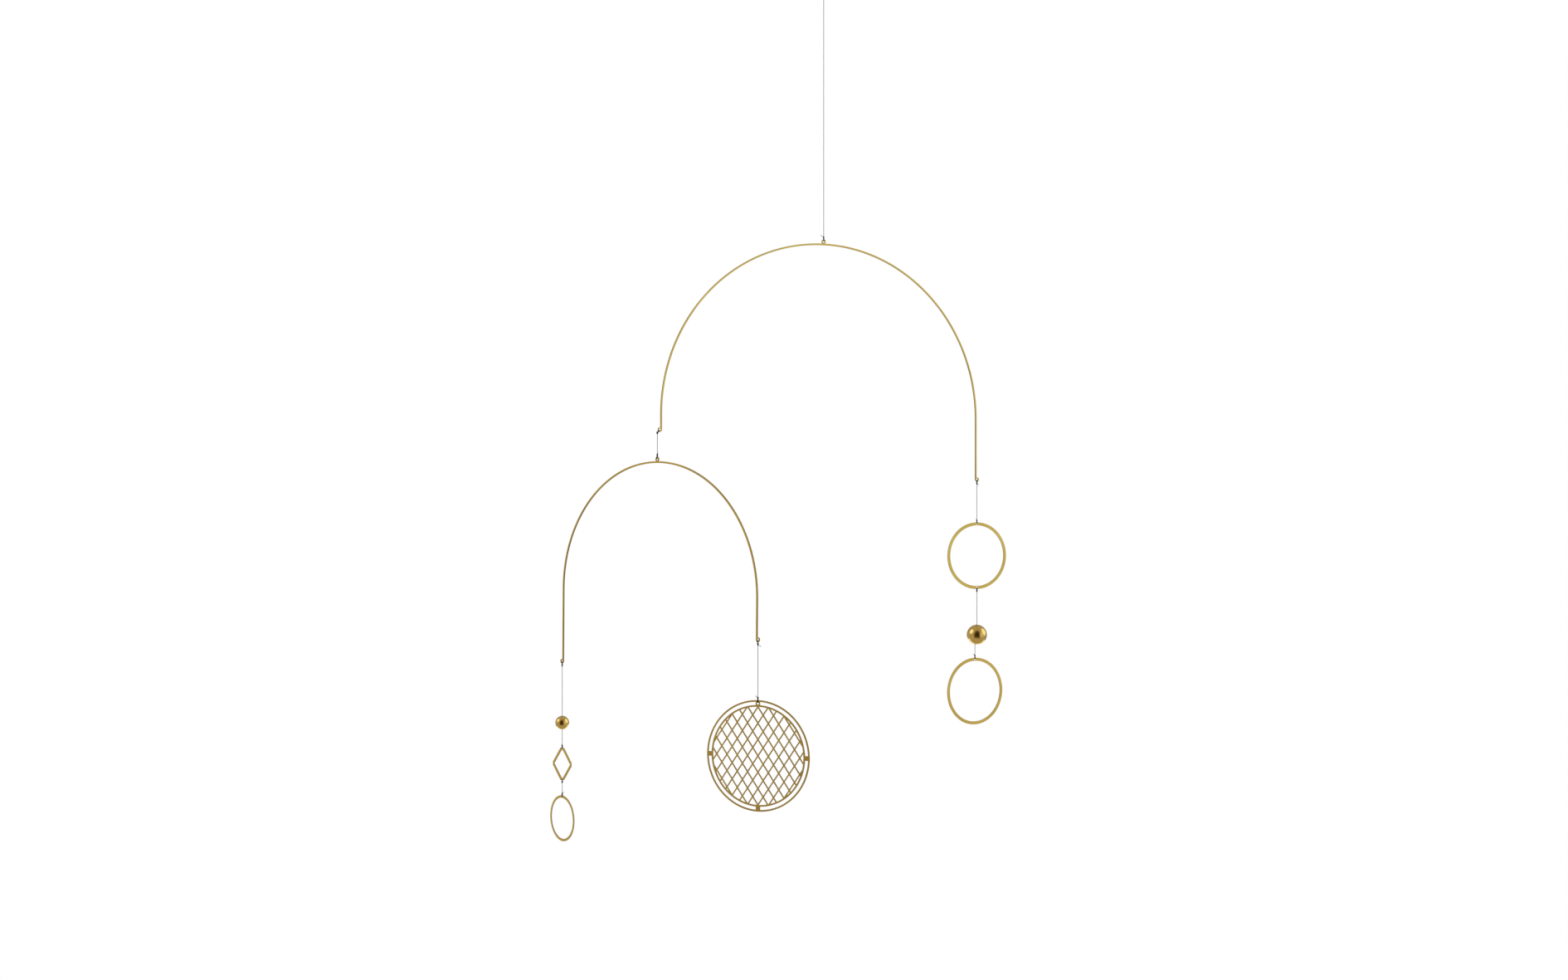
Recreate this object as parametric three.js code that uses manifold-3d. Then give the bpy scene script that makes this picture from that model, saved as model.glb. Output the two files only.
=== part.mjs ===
// Hanging brass mobile. A wide arch hangs on a ceiling thread. Its short leg carries a smaller
// arch, its long leg a string of two rings and a ball. The smaller arch carries a string with
// a ball, a diamond and a ring on one side, and a round lattice on the other.
// Millimetres, +Z up. The origin is where the hanging loop bears on its hook, and the wide
// arch lies in the XZ plane.
import * as THREE from 'three';
import { mergeVertices } from 'three/addons/utils/BufferGeometryUtils.js';
import Module from 'manifold-3d';

const wasm = await Module();
wasm.setup();

// Sheet brass
const SHEET = 0.5; // thickness of the rings, the diamond and the lattice
const ARCH_SHEET = 1.0; // thickness of both arches
const ARCH_BAND = 1.5; // width of the arches' band, seen from the front

// Thread and knots
const THREAD = 0.5; // diameter
const KNOT = { length: 2.6, width: 1.5 };
const STOPPER = { length: 1.4, overhang: 0.3 }; // the knot that holds a ball, wider than its bore
const GAP = 0.35; // clear space between pieces that touch
const HOLE_PLAY = 0.5; // space around the thread in the large rings and the balls
const FINE_PLAY = 0.35; // space around the thread in the small ring and the diamond
const EYELET_PLAY = 0.7; // space around the thread in the arches' eyelets and the lattice
const EYELET_RIM = 0.95; // width of an eyelet's metal around its hole
const EYELET_BITE = 0.3; // how far the top eyelet sinks into the arch's band

// The two arches: centre-line radius, straight legs below the half circle
const UPPER_ARCH = { radius: 150, leftLeg: 13, rightLeg: 54.3 };
const LOWER_ARCH = { radius: 110, leftLeg: 64.2, rightLeg: 33.3 };
const LOWER_ARCH_TURN = -62; // degrees, against the upper arch
const LOWER_ARCH_TILT = 0.5; // degrees, its lattice side a little low

// Rings, balls, diamond and lattice
const LARGE_RING = { outer: 60, band: 2.8 };
const SMALL_RING = { outer: 40, band: 2.2 };
const LARGE_BALL = 18;
const SMALL_BALL = 12;
const BORE_SHIFT = 2; // how far off centre the large ball's bore comes out below
const DIAMOND = { width: 23, height: 34, band: 2.1, sideCut: 2.9, topCut: 3.9, holeEdge: 0.5 };
const LATTICE = { outer: 90, gap: 2.6, rim: 1.4, bar: 1.1, cellWidth: 9.1, cellHeight: 13.2, bridge: 3.8 };

// How each hanging piece is turned about its thread, in degrees against its arch
const UPPER_RING_TURN = 0.7;
const LOWER_RING_TURN = 6.5;
const DIAMOND_TURN = 5;
const SMALL_RING_TURN = -13.5;
const LATTICE_TURN = 16.5;

// Threads, from hole to hole or to the middle of a ball
const HANGING_LOOP = { height: 9, width: 5 };
const CEILING_DROP = 225;
const LINK_DROP = 25;
const LINK_LEAN = 40; // degrees that the link's loop leans outwards in its eyelet
const RING_DROP = 40;
const LARGE_BALL_DROP = 42.5;
const LOWER_RING_DROP = 22;
const SMALL_BALL_DROP = 54;
const DIAMOND_DROP = 23.1;
const SMALL_RING_DROP = 15.7;
const LATTICE_DROP = 51.5;

// Facets
const ARCH_FACETS = 36;
const RING_FACETS = 48;
const EYELET_FACETS = 12;
const HOLE_FACETS = 10;
const BALL_FACETS = 16;
const THREAD_SIDES = 8;
const LOOP_SIDES = 6;

// Finishes
const brass = new THREE.MeshStandardMaterial({ color: 0xc9b37a, roughness: 0.32, metalness: 1 });
const polishedBrass = new THREE.MeshStandardMaterial({ color: 0xd2a552, roughness: 0.08, metalness: 1 });
const blackThread = new THREE.MeshStandardMaterial({ color: 0x26262a, roughness: 0.85, metalness: 0 });

// Values that follow from the sizes above
const radians = THREE.MathUtils.degToRad;
const holeWith = (play) => THREAD + 2 * play;
const EYELET_HOLE = holeWith(EYELET_PLAY);
const EYELET_RADIUS = EYELET_HOLE / 2 + EYELET_RIM;
const EYELET_OUTSET = EYELET_RADIUS - ARCH_BAND / 2;
const EYELET_RISE = EYELET_RADIUS + ARCH_BAND / 2 - EYELET_BITE;
const DRILLED_HOLE = holeWith(HOLE_PLAY);
const FINE_HOLE = holeWith(FINE_PLAY);
const LATTICE_THREAD_HOLE = holeWith(EYELET_PLAY);
const STOPPER_WIDTH = DRILLED_HOLE + 2 * STOPPER.overhang;
const RECESS = { width: STOPPER_WIDTH + 2 * GAP, depth: STOPPER.length + 2 * GAP };
const LATTICE_INNER = LATTICE.outer / 2 - LATTICE.rim - LATTICE.gap;
const LATTICE_HOLE = LATTICE_INNER + LATTICE.gap / 2;
const knotMiddle = (rim) => rim + GAP + KNOT.length / 2;

// Geometry helpers

function toSolid(geometry) {
  const bare = geometry.clone();
  bare.deleteAttribute('normal');
  bare.deleteAttribute('uv');
  const merged = mergeVertices(bare, 1e-4);
  const corners = merged.index.array;
  const kept = [];
  for (let i = 0; i < corners.length; i += 3) {
    const [a, b, c] = [corners[i], corners[i + 1], corners[i + 2]];
    if (a !== b && b !== c && c !== a) kept.push(a, b, c);
  }
  return new wasm.Manifold(new wasm.Mesh({
    numProp: 3,
    vertProperties: merged.attributes.position.array,
    triVerts: new Uint32Array(kept),
  }));
}

function toGeometry(solid) {
  const mesh = solid.getMesh();
  const geometry = new THREE.BufferGeometry();
  geometry.setAttribute('position', new THREE.BufferAttribute(mesh.vertProperties, 3));
  geometry.setIndex(new THREE.BufferAttribute(mesh.triVerts, 1));
  return geometry;
}

const joined = (geometries) => geometries.map(toSolid).reduce((all, next) => all.add(next));

function circle(radius, facets, x = 0, y = 0) {
  return Array.from({ length: facets }, (_, i) => {
    const angle = (2 * Math.PI * i) / facets;
    return new THREE.Vector2(x + radius * Math.cos(angle), y + radius * Math.sin(angle));
  });
}

// A flat plate in the XZ plane, its thickness shared by both sides of it
function plate(outline, thickness, holes = []) {
  const shape = new THREE.Shape(outline);
  shape.holes = holes.map((points) => new THREE.Path(points));
  const geometry = new THREE.ExtrudeGeometry(shape, { depth: thickness, bevelEnabled: false });
  return geometry.translate(0, 0, -thickness / 2).rotateX(Math.PI / 2);
}

function tube(curve, steps, sides) {
  const section = new THREE.Shape(circle(THREAD / 2, sides));
  return new THREE.ExtrudeGeometry(section, { steps, bevelEnabled: false, extrudePath: curve });
}

function straightTube(from, to) {
  const overlap = to.clone().sub(from).setLength(THREAD / 4);
  const line = new THREE.LineCurve3(from.clone().sub(overlap), to.clone().add(overlap));
  return tube(line, 1, THREAD_SIDES);
}

// Brass pieces

function arch({ radius, leftLeg, rightLeg }) {
  const middle = -EYELET_RISE - radius;
  const arc = (r) => Array.from({ length: ARCH_FACETS + 1 }, (_, i) => {
    const angle = (Math.PI * i) / ARCH_FACETS;
    return new THREE.Vector2(r * Math.cos(angle), middle + r * Math.sin(angle));
  });
  const outer = radius + ARCH_BAND / 2;
  const inner = radius - ARCH_BAND / 2;
  const band = [
    new THREE.Vector2(outer, middle - rightLeg),
    ...arc(outer),
    new THREE.Vector2(-outer, middle - leftLeg),
    new THREE.Vector2(-inner, middle - leftLeg),
    ...arc(inner).reverse(),
    new THREE.Vector2(inner, middle - rightLeg),
  ];
  const eyelets = [
    new THREE.Vector2(0, 0),
    new THREE.Vector2(-radius - EYELET_OUTSET, middle - leftLeg),
    new THREE.Vector2(radius + EYELET_OUTSET, middle - rightLeg),
  ];
  let solid = toSolid(plate(band, ARCH_SHEET));
  for (const { x, y } of eyelets) {
    solid = solid.add(toSolid(plate(circle(EYELET_RADIUS, EYELET_FACETS, x, y), ARCH_SHEET)));
  }
  for (const { x, y } of eyelets) {
    solid = solid.subtract(toSolid(plate(circle(EYELET_HOLE / 2, EYELET_FACETS, x, y), 2 * ARCH_SHEET)));
  }
  return toGeometry(solid);
}

// The middle of an eyelet at a leg's foot; side is -1 for the left leg and 1 for the right
function footEyelet({ radius, leftLeg, rightLeg }, side, tilt = 0) {
  const leg = side < 0 ? leftLeg : rightLeg;
  const place = new THREE.Vector3(side * (radius + EYELET_OUTSET), 0, -EYELET_RISE - radius - leg);
  return place.applyAxisAngle(new THREE.Vector3(0, 1, 0), radians(tilt));
}

function ring({ outer, band }, hole, holeAngles) {
  const middle = (outer - band) / 2;
  const holes = holeAngles.map((degrees) => {
    const angle = radians(degrees);
    return circle(hole / 2, HOLE_FACETS, middle * Math.cos(angle), middle * Math.sin(angle));
  });
  return plate(circle(outer / 2, RING_FACETS), SHEET, [circle(outer / 2 - band, RING_FACETS), ...holes]);
}

const ringHole = ({ outer, band }) => (outer - band) / 2;

// A diamond whose sharp corners are cut back by straight edges of the two given lengths
function bluntDiamond(halfWidth, halfHeight, sideCut, topCut) {
  const slope = halfHeight / halfWidth;
  const corners = [
    [halfWidth - sideCut / 2 / slope, -sideCut / 2],
    [halfWidth - sideCut / 2 / slope, sideCut / 2],
    [topCut / 2, halfHeight - (topCut / 2) * slope],
    [-topCut / 2, halfHeight - (topCut / 2) * slope],
  ];
  return [...corners, ...corners.map(([x, y]) => [-x, -y])].map(([x, y]) => new THREE.Vector2(x, y));
}

// The heights above the diamond's middle of its blunt top and of its drilled hole
const diamondTop = ({ width, height, topCut }) => (height - (topCut * height) / width) / 2;
const diamondHole = (sizes) => diamondTop(sizes) - sizes.holeEdge - FINE_HOLE / 2;

function diamond(sizes) {
  const { width, height, band, sideCut, topCut, holeEdge } = sizes;
  const side = Math.hypot(width, height);
  const window = [
    new THREE.Vector2(width / 2 - (band * side) / height, 0),
    new THREE.Vector2(0, height / 2 - (band * side) / width),
  ];
  window.push(...window.map((corner) => corner.clone().negate()));
  const outline = bluntDiamond(width / 2, height / 2, sideCut, topCut);
  let solid = toSolid(plate(outline, SHEET, [window]));
  const holes = [diamondHole(sizes), -diamondHole(sizes)];
  for (const height of holes) {
    solid = solid.add(toSolid(plate(circle(FINE_HOLE / 2 + holeEdge, HOLE_FACETS, 0, height), SHEET)));
  }
  for (const height of holes) {
    solid = solid.subtract(toSolid(plate(circle(FINE_HOLE / 2, HOLE_FACETS, 0, height), 2 * SHEET)));
  }
  return toGeometry(solid);
}

// The windows between the lattice's crossed bars, as far as they lie inside its field
function latticeWindows({ bar, cellWidth, cellHeight }, fieldRadius) {
  const halfWidth = cellWidth / 2;
  const halfHeight = cellHeight / 2;
  const shrink = 1 - (bar * Math.hypot(halfWidth, halfHeight)) / (2 * halfWidth * halfHeight);
  const corners = [[1, 0], [0, 1], [-1, 0], [0, -1]];
  const windows = [];
  const columns = Math.ceil(fieldRadius / halfWidth);
  const rows = Math.ceil(fieldRadius / halfHeight);
  for (let column = -columns; column <= columns; column += 1) {
    for (let row = -rows; row <= rows; row += 1) {
      const outline = corners.map(([x, y]) => new THREE.Vector2(
        (column + x * shrink) * halfWidth,
        (row + y * shrink) * halfHeight,
      ));
      const nearest = Math.min(...outline.map((corner) => corner.length()));
      const isCell = (column + row) % 2 !== 0;
      if (isCell && nearest < fieldRadius - bar * 0.75) windows.push(plate(outline, 2 * SHEET));
    }
  }
  return joined(windows).intersect(toSolid(plate(circle(fieldRadius, RING_FACETS), 2 * SHEET)));
}

function lattice(sizes) {
  const { outer, rim, bridge } = sizes;
  const rimMiddle = outer / 2 - rim / 2;
  const innerMiddle = LATTICE_INNER - rim / 2;
  const outerRim = plate(circle(outer / 2, RING_FACETS), SHEET, [circle(outer / 2 - rim, RING_FACETS)]);
  const field = toSolid(plate(circle(LATTICE_INNER, RING_FACETS), SHEET))
    .subtract(latticeWindows(sizes, LATTICE_INNER - rim));
  const between = plate(circle(rimMiddle, RING_FACETS), SHEET, [circle(innerMiddle, RING_FACETS)]);
  const bridges = joined([0, 90].map((degrees) => {
    return new THREE.BoxGeometry(bridge, SHEET, outer - rim).rotateY(radians(degrees));
  })).intersect(toSolid(between));
  const hole = plate(circle(LATTICE_THREAD_HOLE / 2, HOLE_FACETS, 0, LATTICE_HOLE), 2 * SHEET);
  return toGeometry(toSolid(outerRim).add(field).add(bridges).subtract(toSolid(hole)));
}

// A ball drilled from its top to a point beside its bottom, with a recess there for its knot
function ball(diameter, shift = 0) {
  const sphere = new THREE.SphereGeometry(diameter / 2, BALL_FACETS, BALL_FACETS * 0.65).rotateX(Math.PI / 2);
  const drilled = [[DRILLED_HOLE, 2 * diameter, 0], [RECESS.width, 2 * RECESS.depth, 1]];
  const cuts = drilled.map(([width, length, end]) => {
    const drill = new THREE.CylinderGeometry(width / 2, width / 2, length, HOLE_FACETS).rotateX(Math.PI / 2);
    drill.rotateY(Math.atan2(shift, diameter));
    return drill.translate((-shift * (1 + end)) / 2, 0, (-diameter * end) / 2);
  });
  return toGeometry(toSolid(sphere).subtract(joined(cuts)));
}

// Thread pieces

// A loop through a hole at the origin, its strands closing on a knot below the rim
function throughLoop({ rim, sheet, end, spread }) {
  const depth = sheet / 2 + GAP + THREAD / 2;
  const bend = depth * Math.SQRT1_2;
  const half = [
    new THREE.Vector3(0, spread, -end),
    new THREE.Vector3(0, depth, -rim),
    new THREE.Vector3(0, depth, -depth),
    new THREE.Vector3(0, bend, bend - depth),
  ];
  const otherHalf = half.map(({ y, z }) => new THREE.Vector3(0, -y, z)).reverse();
  const curve = new THREE.CatmullRomCurve3([...half, new THREE.Vector3(), ...otherHalf], false, 'centripetal');
  return tube(curve, 8, LOOP_SIDES);
}

function knot({ length, width }) {
  const profile = [[0, -1], [0.6, -0.75], [1, -0.25], [1, 0.25], [0.6, 0.75], [0, 1]];
  const points = profile.map(([r, z]) => new THREE.Vector2((r * width) / 2, (z * length) / 2));
  return new THREE.LatheGeometry(points, LOOP_SIDES).rotateX(Math.PI / 2);
}

// A tie holds a thread in a hole: lean 0 puts the knot below the hole, 180 above it
function tie({ hole, rim, sheet, turn = 0, lean = 0 }) {
  const loop = throughLoop({ rim, sheet, end: rim + GAP + KNOT.length * 0.4, spread: THREAD * 0.3 });
  const bulge = knot(KNOT).translate(0, 0, -knotMiddle(rim));
  return [loop, bulge].map((piece) => {
    piece.rotateY(radians(lean)).rotateZ(radians(turn));
    return piece.translate(hole.x, hole.y, hole.z);
  });
}

function thread(route, ties, knots = []) {
  const runs = route.slice(1).map((point, i) => straightTube(route[i], point));
  const stops = knots.map(({ size, at }) => knot(size).translate(at.x, at.y, at.z));
  return toGeometry(joined([...runs, ...ties.flatMap(tie), ...stops]));
}

const down = (z, x = 0) => new THREE.Vector3(x, 0, -z);

// A straight thread from the eyelet or hole at its own origin to a hole below it
function hungThread(drop, top, bottom) {
  return thread(
    [down(knotMiddle(top.rim)), down(drop - knotMiddle(bottom.rim))],
    [{ hole: down(0), ...top }, { hole: down(drop), lean: 180, ...bottom }],
  );
}

// A thread that runs on through a ball, with a stopper knot in the ball's recess
function ballThread(top, ballDrop, diameter, shift, below, bottom) {
  const inBore = (height) => down(ballDrop + diameter / 2 - height, -shift * (1 - height / diameter));
  const foot = ballDrop + below;
  const knotHeight = RECESS.depth - GAP - STOPPER.length / 2;
  return thread(
    [down(knotMiddle(top.rim)), inBore(diameter), inBore(0), down(foot - knotMiddle(bottom.rim), -shift)],
    [{ hole: down(0), ...top }, { hole: down(foot, -shift), lean: 180, ...bottom }],
    [{ size: { length: STOPPER.length, width: STOPPER_WIDTH }, at: inBore(knotHeight) }],
  );
}

// Assembly

const mobile = new THREE.Group();

function place(parent, name, geometry, material, position = new THREE.Vector3(), turn = 0) {
  const mesh = new THREE.Mesh(geometry, material);
  mesh.name = name;
  mesh.position.copy(position);
  mesh.rotation.z = radians(turn);
  parent.add(mesh);
  return mesh;
}

function arm(parent, position, turn = 0) {
  const group = new THREE.Group();
  group.position.copy(position);
  group.rotation.z = radians(turn);
  parent.add(group);
  return group;
}

const eyeletTie = { rim: EYELET_RADIUS, sheet: ARCH_SHEET };
const largeRingTie = { rim: LARGE_RING.band / 2, sheet: SHEET };
const smallRingTie = { rim: SMALL_RING.band / 2, sheet: SHEET };
const diamondTie = { rim: diamondTop(DIAMOND) - diamondHole(DIAMOND), sheet: SHEET };
const latticeTie = { rim: LATTICE.outer / 2 - LATTICE_HOLE, sheet: SHEET };

// The loop that hangs on the hook, its two strands ending just above the ceiling thread's knot
function hangingLoop({ height, width }) {
  const side = width / 2;
  const half = [
    new THREE.Vector3(THREAD * 0.7, 0, -height),
    new THREE.Vector3(side * 0.7, 0, -height * 0.66),
    new THREE.Vector3(side, 0, -height * 0.33),
    new THREE.Vector3(side * 0.7, 0, -height * 0.06),
  ];
  const otherHalf = half.map(({ x, z }) => new THREE.Vector3(-x, 0, z)).reverse();
  const top = new THREE.Vector3(0, 0, THREAD / 2);
  const curve = new THREE.CatmullRomCurve3([...half, top, ...otherHalf], false, 'centripetal');
  return tube(curve, 14, LOOP_SIDES);
}

place(mobile, 'hanging_loop', hangingLoop(HANGING_LOOP), blackThread);
const topKnot = HANGING_LOOP.height + GAP + KNOT.length / 2;
place(mobile, 'ceiling_thread', thread(
  [down(topKnot), down(CEILING_DROP - knotMiddle(EYELET_RADIUS))],
  [{ hole: down(CEILING_DROP), lean: 180, ...eyeletTie }],
  [{ size: KNOT, at: down(topKnot) }],
), blackThread);

// The upper arch and the string on its long leg
const upperArm = arm(mobile, down(CEILING_DROP));
place(upperArm, 'upper_arch', arch(UPPER_ARCH), brass);

const ringString = arm(upperArm, footEyelet(UPPER_ARCH, 1));
const upperRingTie = { ...largeRingTie, turn: UPPER_RING_TURN };
const lowerRingTie = { ...largeRingTie, turn: LOWER_RING_TURN };
const largeRing = () => ring(LARGE_RING, DRILLED_HOLE, [90, 270]);
place(ringString, 'ring_thread', hungThread(RING_DROP, eyeletTie, upperRingTie), blackThread);
const ringRadius = ringHole(LARGE_RING);
place(ringString, 'upper_ring', largeRing(), brass, down(RING_DROP + ringRadius), UPPER_RING_TURN);
const ringFoot = RING_DROP + 2 * ringRadius;
const ballString = ballThread(
  upperRingTie, LARGE_BALL_DROP, LARGE_BALL, BORE_SHIFT, LOWER_RING_DROP, lowerRingTie,
);
place(ringString, 'large_ball_thread', ballString, blackThread, down(ringFoot));
place(ringString, 'large_ball', ball(LARGE_BALL, BORE_SHIFT), polishedBrass, down(ringFoot + LARGE_BALL_DROP));
const lowerRingDepth = ringFoot + LARGE_BALL_DROP + LOWER_RING_DROP + ringRadius;
const lowerRing = ring(LARGE_RING, DRILLED_HOLE, [90]);
place(ringString, 'lower_ring', lowerRing, brass, down(lowerRingDepth, -BORE_SHIFT), LOWER_RING_TURN);

// The link from the short leg's eyelet to the lower arch
const linkEyelet = arm(upperArm, footEyelet(UPPER_ARCH, -1));
const linkLoop = throughLoop({ ...eyeletTie, end: EYELET_RADIUS + GAP, spread: THREAD });
place(linkEyelet, 'link_loop', linkLoop.rotateY(radians(LINK_LEAN)), blackThread);
const linkReach = knotMiddle(EYELET_RADIUS);
const linkKnot = down(linkReach * Math.cos(radians(LINK_LEAN)), -linkReach * Math.sin(radians(LINK_LEAN)));
const lowerArm = arm(linkEyelet, down(LINK_DROP, linkKnot.x), LOWER_ARCH_TURN);
const linkTop = new THREE.Vector3(0, 0, LINK_DROP + linkKnot.z);
place(lowerArm, 'link_thread', thread(
  [linkTop, new THREE.Vector3(0, 0, knotMiddle(EYELET_RADIUS))],
  [{ hole: down(0), lean: 180, ...eyeletTie }],
  [{ size: KNOT, at: linkTop }],
), blackThread);

// The lower arch and its two strings
const lowerArch = place(lowerArm, 'lower_arch', arch(LOWER_ARCH), brass);
lowerArch.rotation.y = radians(LOWER_ARCH_TILT);

const diamondString = arm(lowerArm, footEyelet(LOWER_ARCH, -1, LOWER_ARCH_TILT));
const turnedDiamondTie = { ...diamondTie, turn: DIAMOND_TURN };
const smallBallString = ballThread(
  eyeletTie, SMALL_BALL_DROP, SMALL_BALL, 0, DIAMOND_DROP, turnedDiamondTie,
);
place(diamondString, 'small_ball_thread', smallBallString, blackThread);
place(diamondString, 'small_ball', ball(SMALL_BALL), polishedBrass, down(SMALL_BALL_DROP));
const diamondDepth = SMALL_BALL_DROP + DIAMOND_DROP + diamondHole(DIAMOND);
place(diamondString, 'diamond', diamond(DIAMOND), brass, down(diamondDepth), DIAMOND_TURN);
const diamondFoot = diamondDepth + diamondHole(DIAMOND);
const smallRingThread = hungThread(SMALL_RING_DROP, turnedDiamondTie, { ...smallRingTie, turn: SMALL_RING_TURN });
place(diamondString, 'small_ring_thread', smallRingThread, blackThread, down(diamondFoot));
const smallRingDepth = diamondFoot + SMALL_RING_DROP + ringHole(SMALL_RING);
const smallRing = ring(SMALL_RING, FINE_HOLE, [90]);
place(diamondString, 'small_ring', smallRing, brass, down(smallRingDepth), SMALL_RING_TURN);

const latticeString = arm(lowerArm, footEyelet(LOWER_ARCH, 1, LOWER_ARCH_TILT));
const latticeThread = hungThread(LATTICE_DROP, eyeletTie, { ...latticeTie, turn: LATTICE_TURN });
place(latticeString, 'lattice_thread', latticeThread, blackThread);
place(latticeString, 'lattice_disc', lattice(LATTICE), brass, down(LATTICE_DROP + LATTICE_HOLE), LATTICE_TURN);

export default mobile;
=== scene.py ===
"""Studio scene of a hanging brass mobile, dressed around its packed construction model.

Everything is in metres, +Z up, in the model's own frame: the origin is where the hanging loop
bears on its hook, and the wide arch lies in the XZ plane. Sizes are named in millimetres.
"""

import logging
import math
from dataclasses import dataclass, field
from enum import Enum
from typing import Any, Sequence

import bpy
from mathutils import Matrix, Vector


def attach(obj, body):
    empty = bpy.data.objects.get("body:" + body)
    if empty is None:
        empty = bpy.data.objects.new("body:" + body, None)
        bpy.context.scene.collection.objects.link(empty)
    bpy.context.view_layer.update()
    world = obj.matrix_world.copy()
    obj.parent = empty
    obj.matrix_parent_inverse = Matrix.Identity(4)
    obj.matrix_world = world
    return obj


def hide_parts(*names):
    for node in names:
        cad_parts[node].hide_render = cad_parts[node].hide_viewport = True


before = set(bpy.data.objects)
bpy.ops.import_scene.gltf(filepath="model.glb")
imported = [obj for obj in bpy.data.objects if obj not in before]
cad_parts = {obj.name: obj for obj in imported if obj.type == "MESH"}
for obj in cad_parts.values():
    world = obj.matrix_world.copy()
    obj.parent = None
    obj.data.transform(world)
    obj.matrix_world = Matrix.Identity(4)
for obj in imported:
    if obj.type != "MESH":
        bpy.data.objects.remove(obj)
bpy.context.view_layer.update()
LOG = logging.getLogger("mobile")
MM = 0.001
UPPER = "upper_arch"  # the body of the wide arch and what hangs on its long leg
LOWER = "lower_arch"  # the body of the small arch and what hangs on it

# Sheet brass
SHEET = 0.5
ARCH_SHEET = 1.0
ARCH_BAND = 1.5
SOFT_EDGE = 0.09  # radius to which etching and tumbling round the edges
BEVEL_STEPS = 3
PROUD = 1.03  # how much thicker an eyelet or a boss is, so that no two faces lie in one plane

# Balls, thread and holes
LARGE_BALL = 18.0
SMALL_BALL = 12.0
THREAD = 0.5
KNOT_LENGTH = 2.6
STOPPER_LENGTH = 1.4
BALL_KNOT = 0.85  # radius of the knot that holds a ball up
GAP = 0.35
DRILLED_HOLE = 1.5
FINE_HOLE = 1.2
EYELET_HOLE = 1.9
RECESS_WIDTH = DRILLED_HOLE + 0.6 + 2 * GAP  # where a ball's knot hides in it
RECESS_DEPTH = STOPPER_LENGTH + 2 * GAP
EYELET_RADIUS = EYELET_HOLE / 2 + 0.95
EYELET_OUTSET = EYELET_RADIUS - ARCH_BAND / 2
EYELET_RISE = EYELET_RADIUS + ARCH_BAND / 2 - 0.3

# How finely round shapes are divided
HOLE_SIDES = 40
RING_SIDES = 192
EYELET_SIDES = 56
BAND_CUT_SIDES = 24
DISC_SIDES = 256
GAP_SIDES = (224, 208)
BALL_SIDES = (128, 80)
ARCH_STEPS = 180

# Degrees past which an edge stays crisp
SHEET_CREASE = 50.0
FINE_CREASE = 40.0

# Threads, from hole to hole or to the middle of a ball
CEILING_DROP = 225.0
LOOP_HEIGHT = 9.0
LOOP_WIDTH = 5.0
LINK_DROP = 25.0
LINK_LEAN = 40.0
RING_DROP = 40.0
LARGE_BALL_DROP = 42.5
LOWER_RING_DROP = 22.0
SMALL_BALL_DROP = 54.0
DIAMOND_DROP = 23.1
SMALL_RING_DROP = 15.7
LATTICE_DROP = 51.5
BORE_SHIFT = 2.0

# How each piece is turned about its thread, in degrees against its arch
LOWER_ARCH_TURN = -62.0
LOWER_ARCH_TILT = 0.5
UPPER_RING_TURN = 0.7
LOWER_RING_TURN = 6.5
DIAMOND_TURN = 5.0
SMALL_RING_TURN = -13.5
LATTICE_TURN = 16.5

# What the sheet's finish reads: each point's place in its stock, and how much a face is an edge, where
# the brass is duller and darkened by painted shade
PLACE_LAYER = "sheet_place"
EDGE_LAYER = "cut_edge"

# Node trees

LINKED = (bpy.types.Node, bpy.types.NodeSocket)


def connect(tree: Any, node: Any, inputs: dict) -> None:
    """Set and link a node's inputs.

    Args:
        tree: The tree that the node is in.
        node: The node.
        inputs: Its inputs by socket name or number. A value is set, a socket or a node's first
            output is linked, a tuple with any of these in it becomes a vector, and the items of
            a list go in one after another.
    """
    for key, value in inputs.items():
        for item in value if isinstance(value, list) else [value]:
            if isinstance(item, tuple) and any(isinstance(part, LINKED) for part in item):
                item = add_node(tree, "ShaderNodeCombineXYZ", inputs=dict(enumerate(item)))
            if isinstance(item, bpy.types.Node):
                item = item.outputs[0]
            if isinstance(item, bpy.types.NodeSocket):
                tree.links.new(item, node.inputs[key])
            else:
                node.inputs[key].default_value = item


def add_node(tree: Any, kind: str, settings: dict | None = None, inputs: dict | None = None) -> Any:
    """Add one node with its settings and links.

    Args:
        tree: The shader or geometry node tree that it goes in.
        kind: The node's type name.
        settings: Its properties by name.
        inputs: Its inputs, as connect takes them.

    Returns:
        The new node.
    """
    node = tree.nodes.new(kind)
    for name, value in (settings or {}).items():
        setattr(node, name, value)
    connect(tree, node, inputs or {})
    return node


def sum_of(tree: Any, kind: str, *values: Any) -> Any:
    """Return the result of one sum, such as ADD or DIVIDE, of sockets or numbers."""
    return add_node(tree, "ShaderNodeMath", {"operation": kind}, dict(enumerate(values))).outputs[0]


# Finishes


def linear(hex_colour: str) -> tuple[float, float, float, float]:
    """Turn an sRGB hex colour into linear red, green, blue and alpha.

    Args:
        hex_colour: Six hex digits.

    Returns:
        The linear colour with an alpha of one.
    """
    parts = [int(hex_colour[i : i + 2], 16) / 255 for i in (0, 2, 4)]
    red, green, blue = (
        part / 12.92 if part <= 0.04045 else ((part + 0.055) / 1.055) ** 2.4 for part in parts
    )
    return red, green, blue, 1.0


def pattern(tree: Any, place: Any, millimetres: float, detail: float) -> Any:
    """Return a soft pattern that repeats about every given number of millimetres."""
    inputs = {"Vector": place, "Scale": 1 / (millimetres * MM), "Detail": detail}
    return add_node(tree, "ShaderNodeTexNoise", inputs=inputs)


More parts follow.
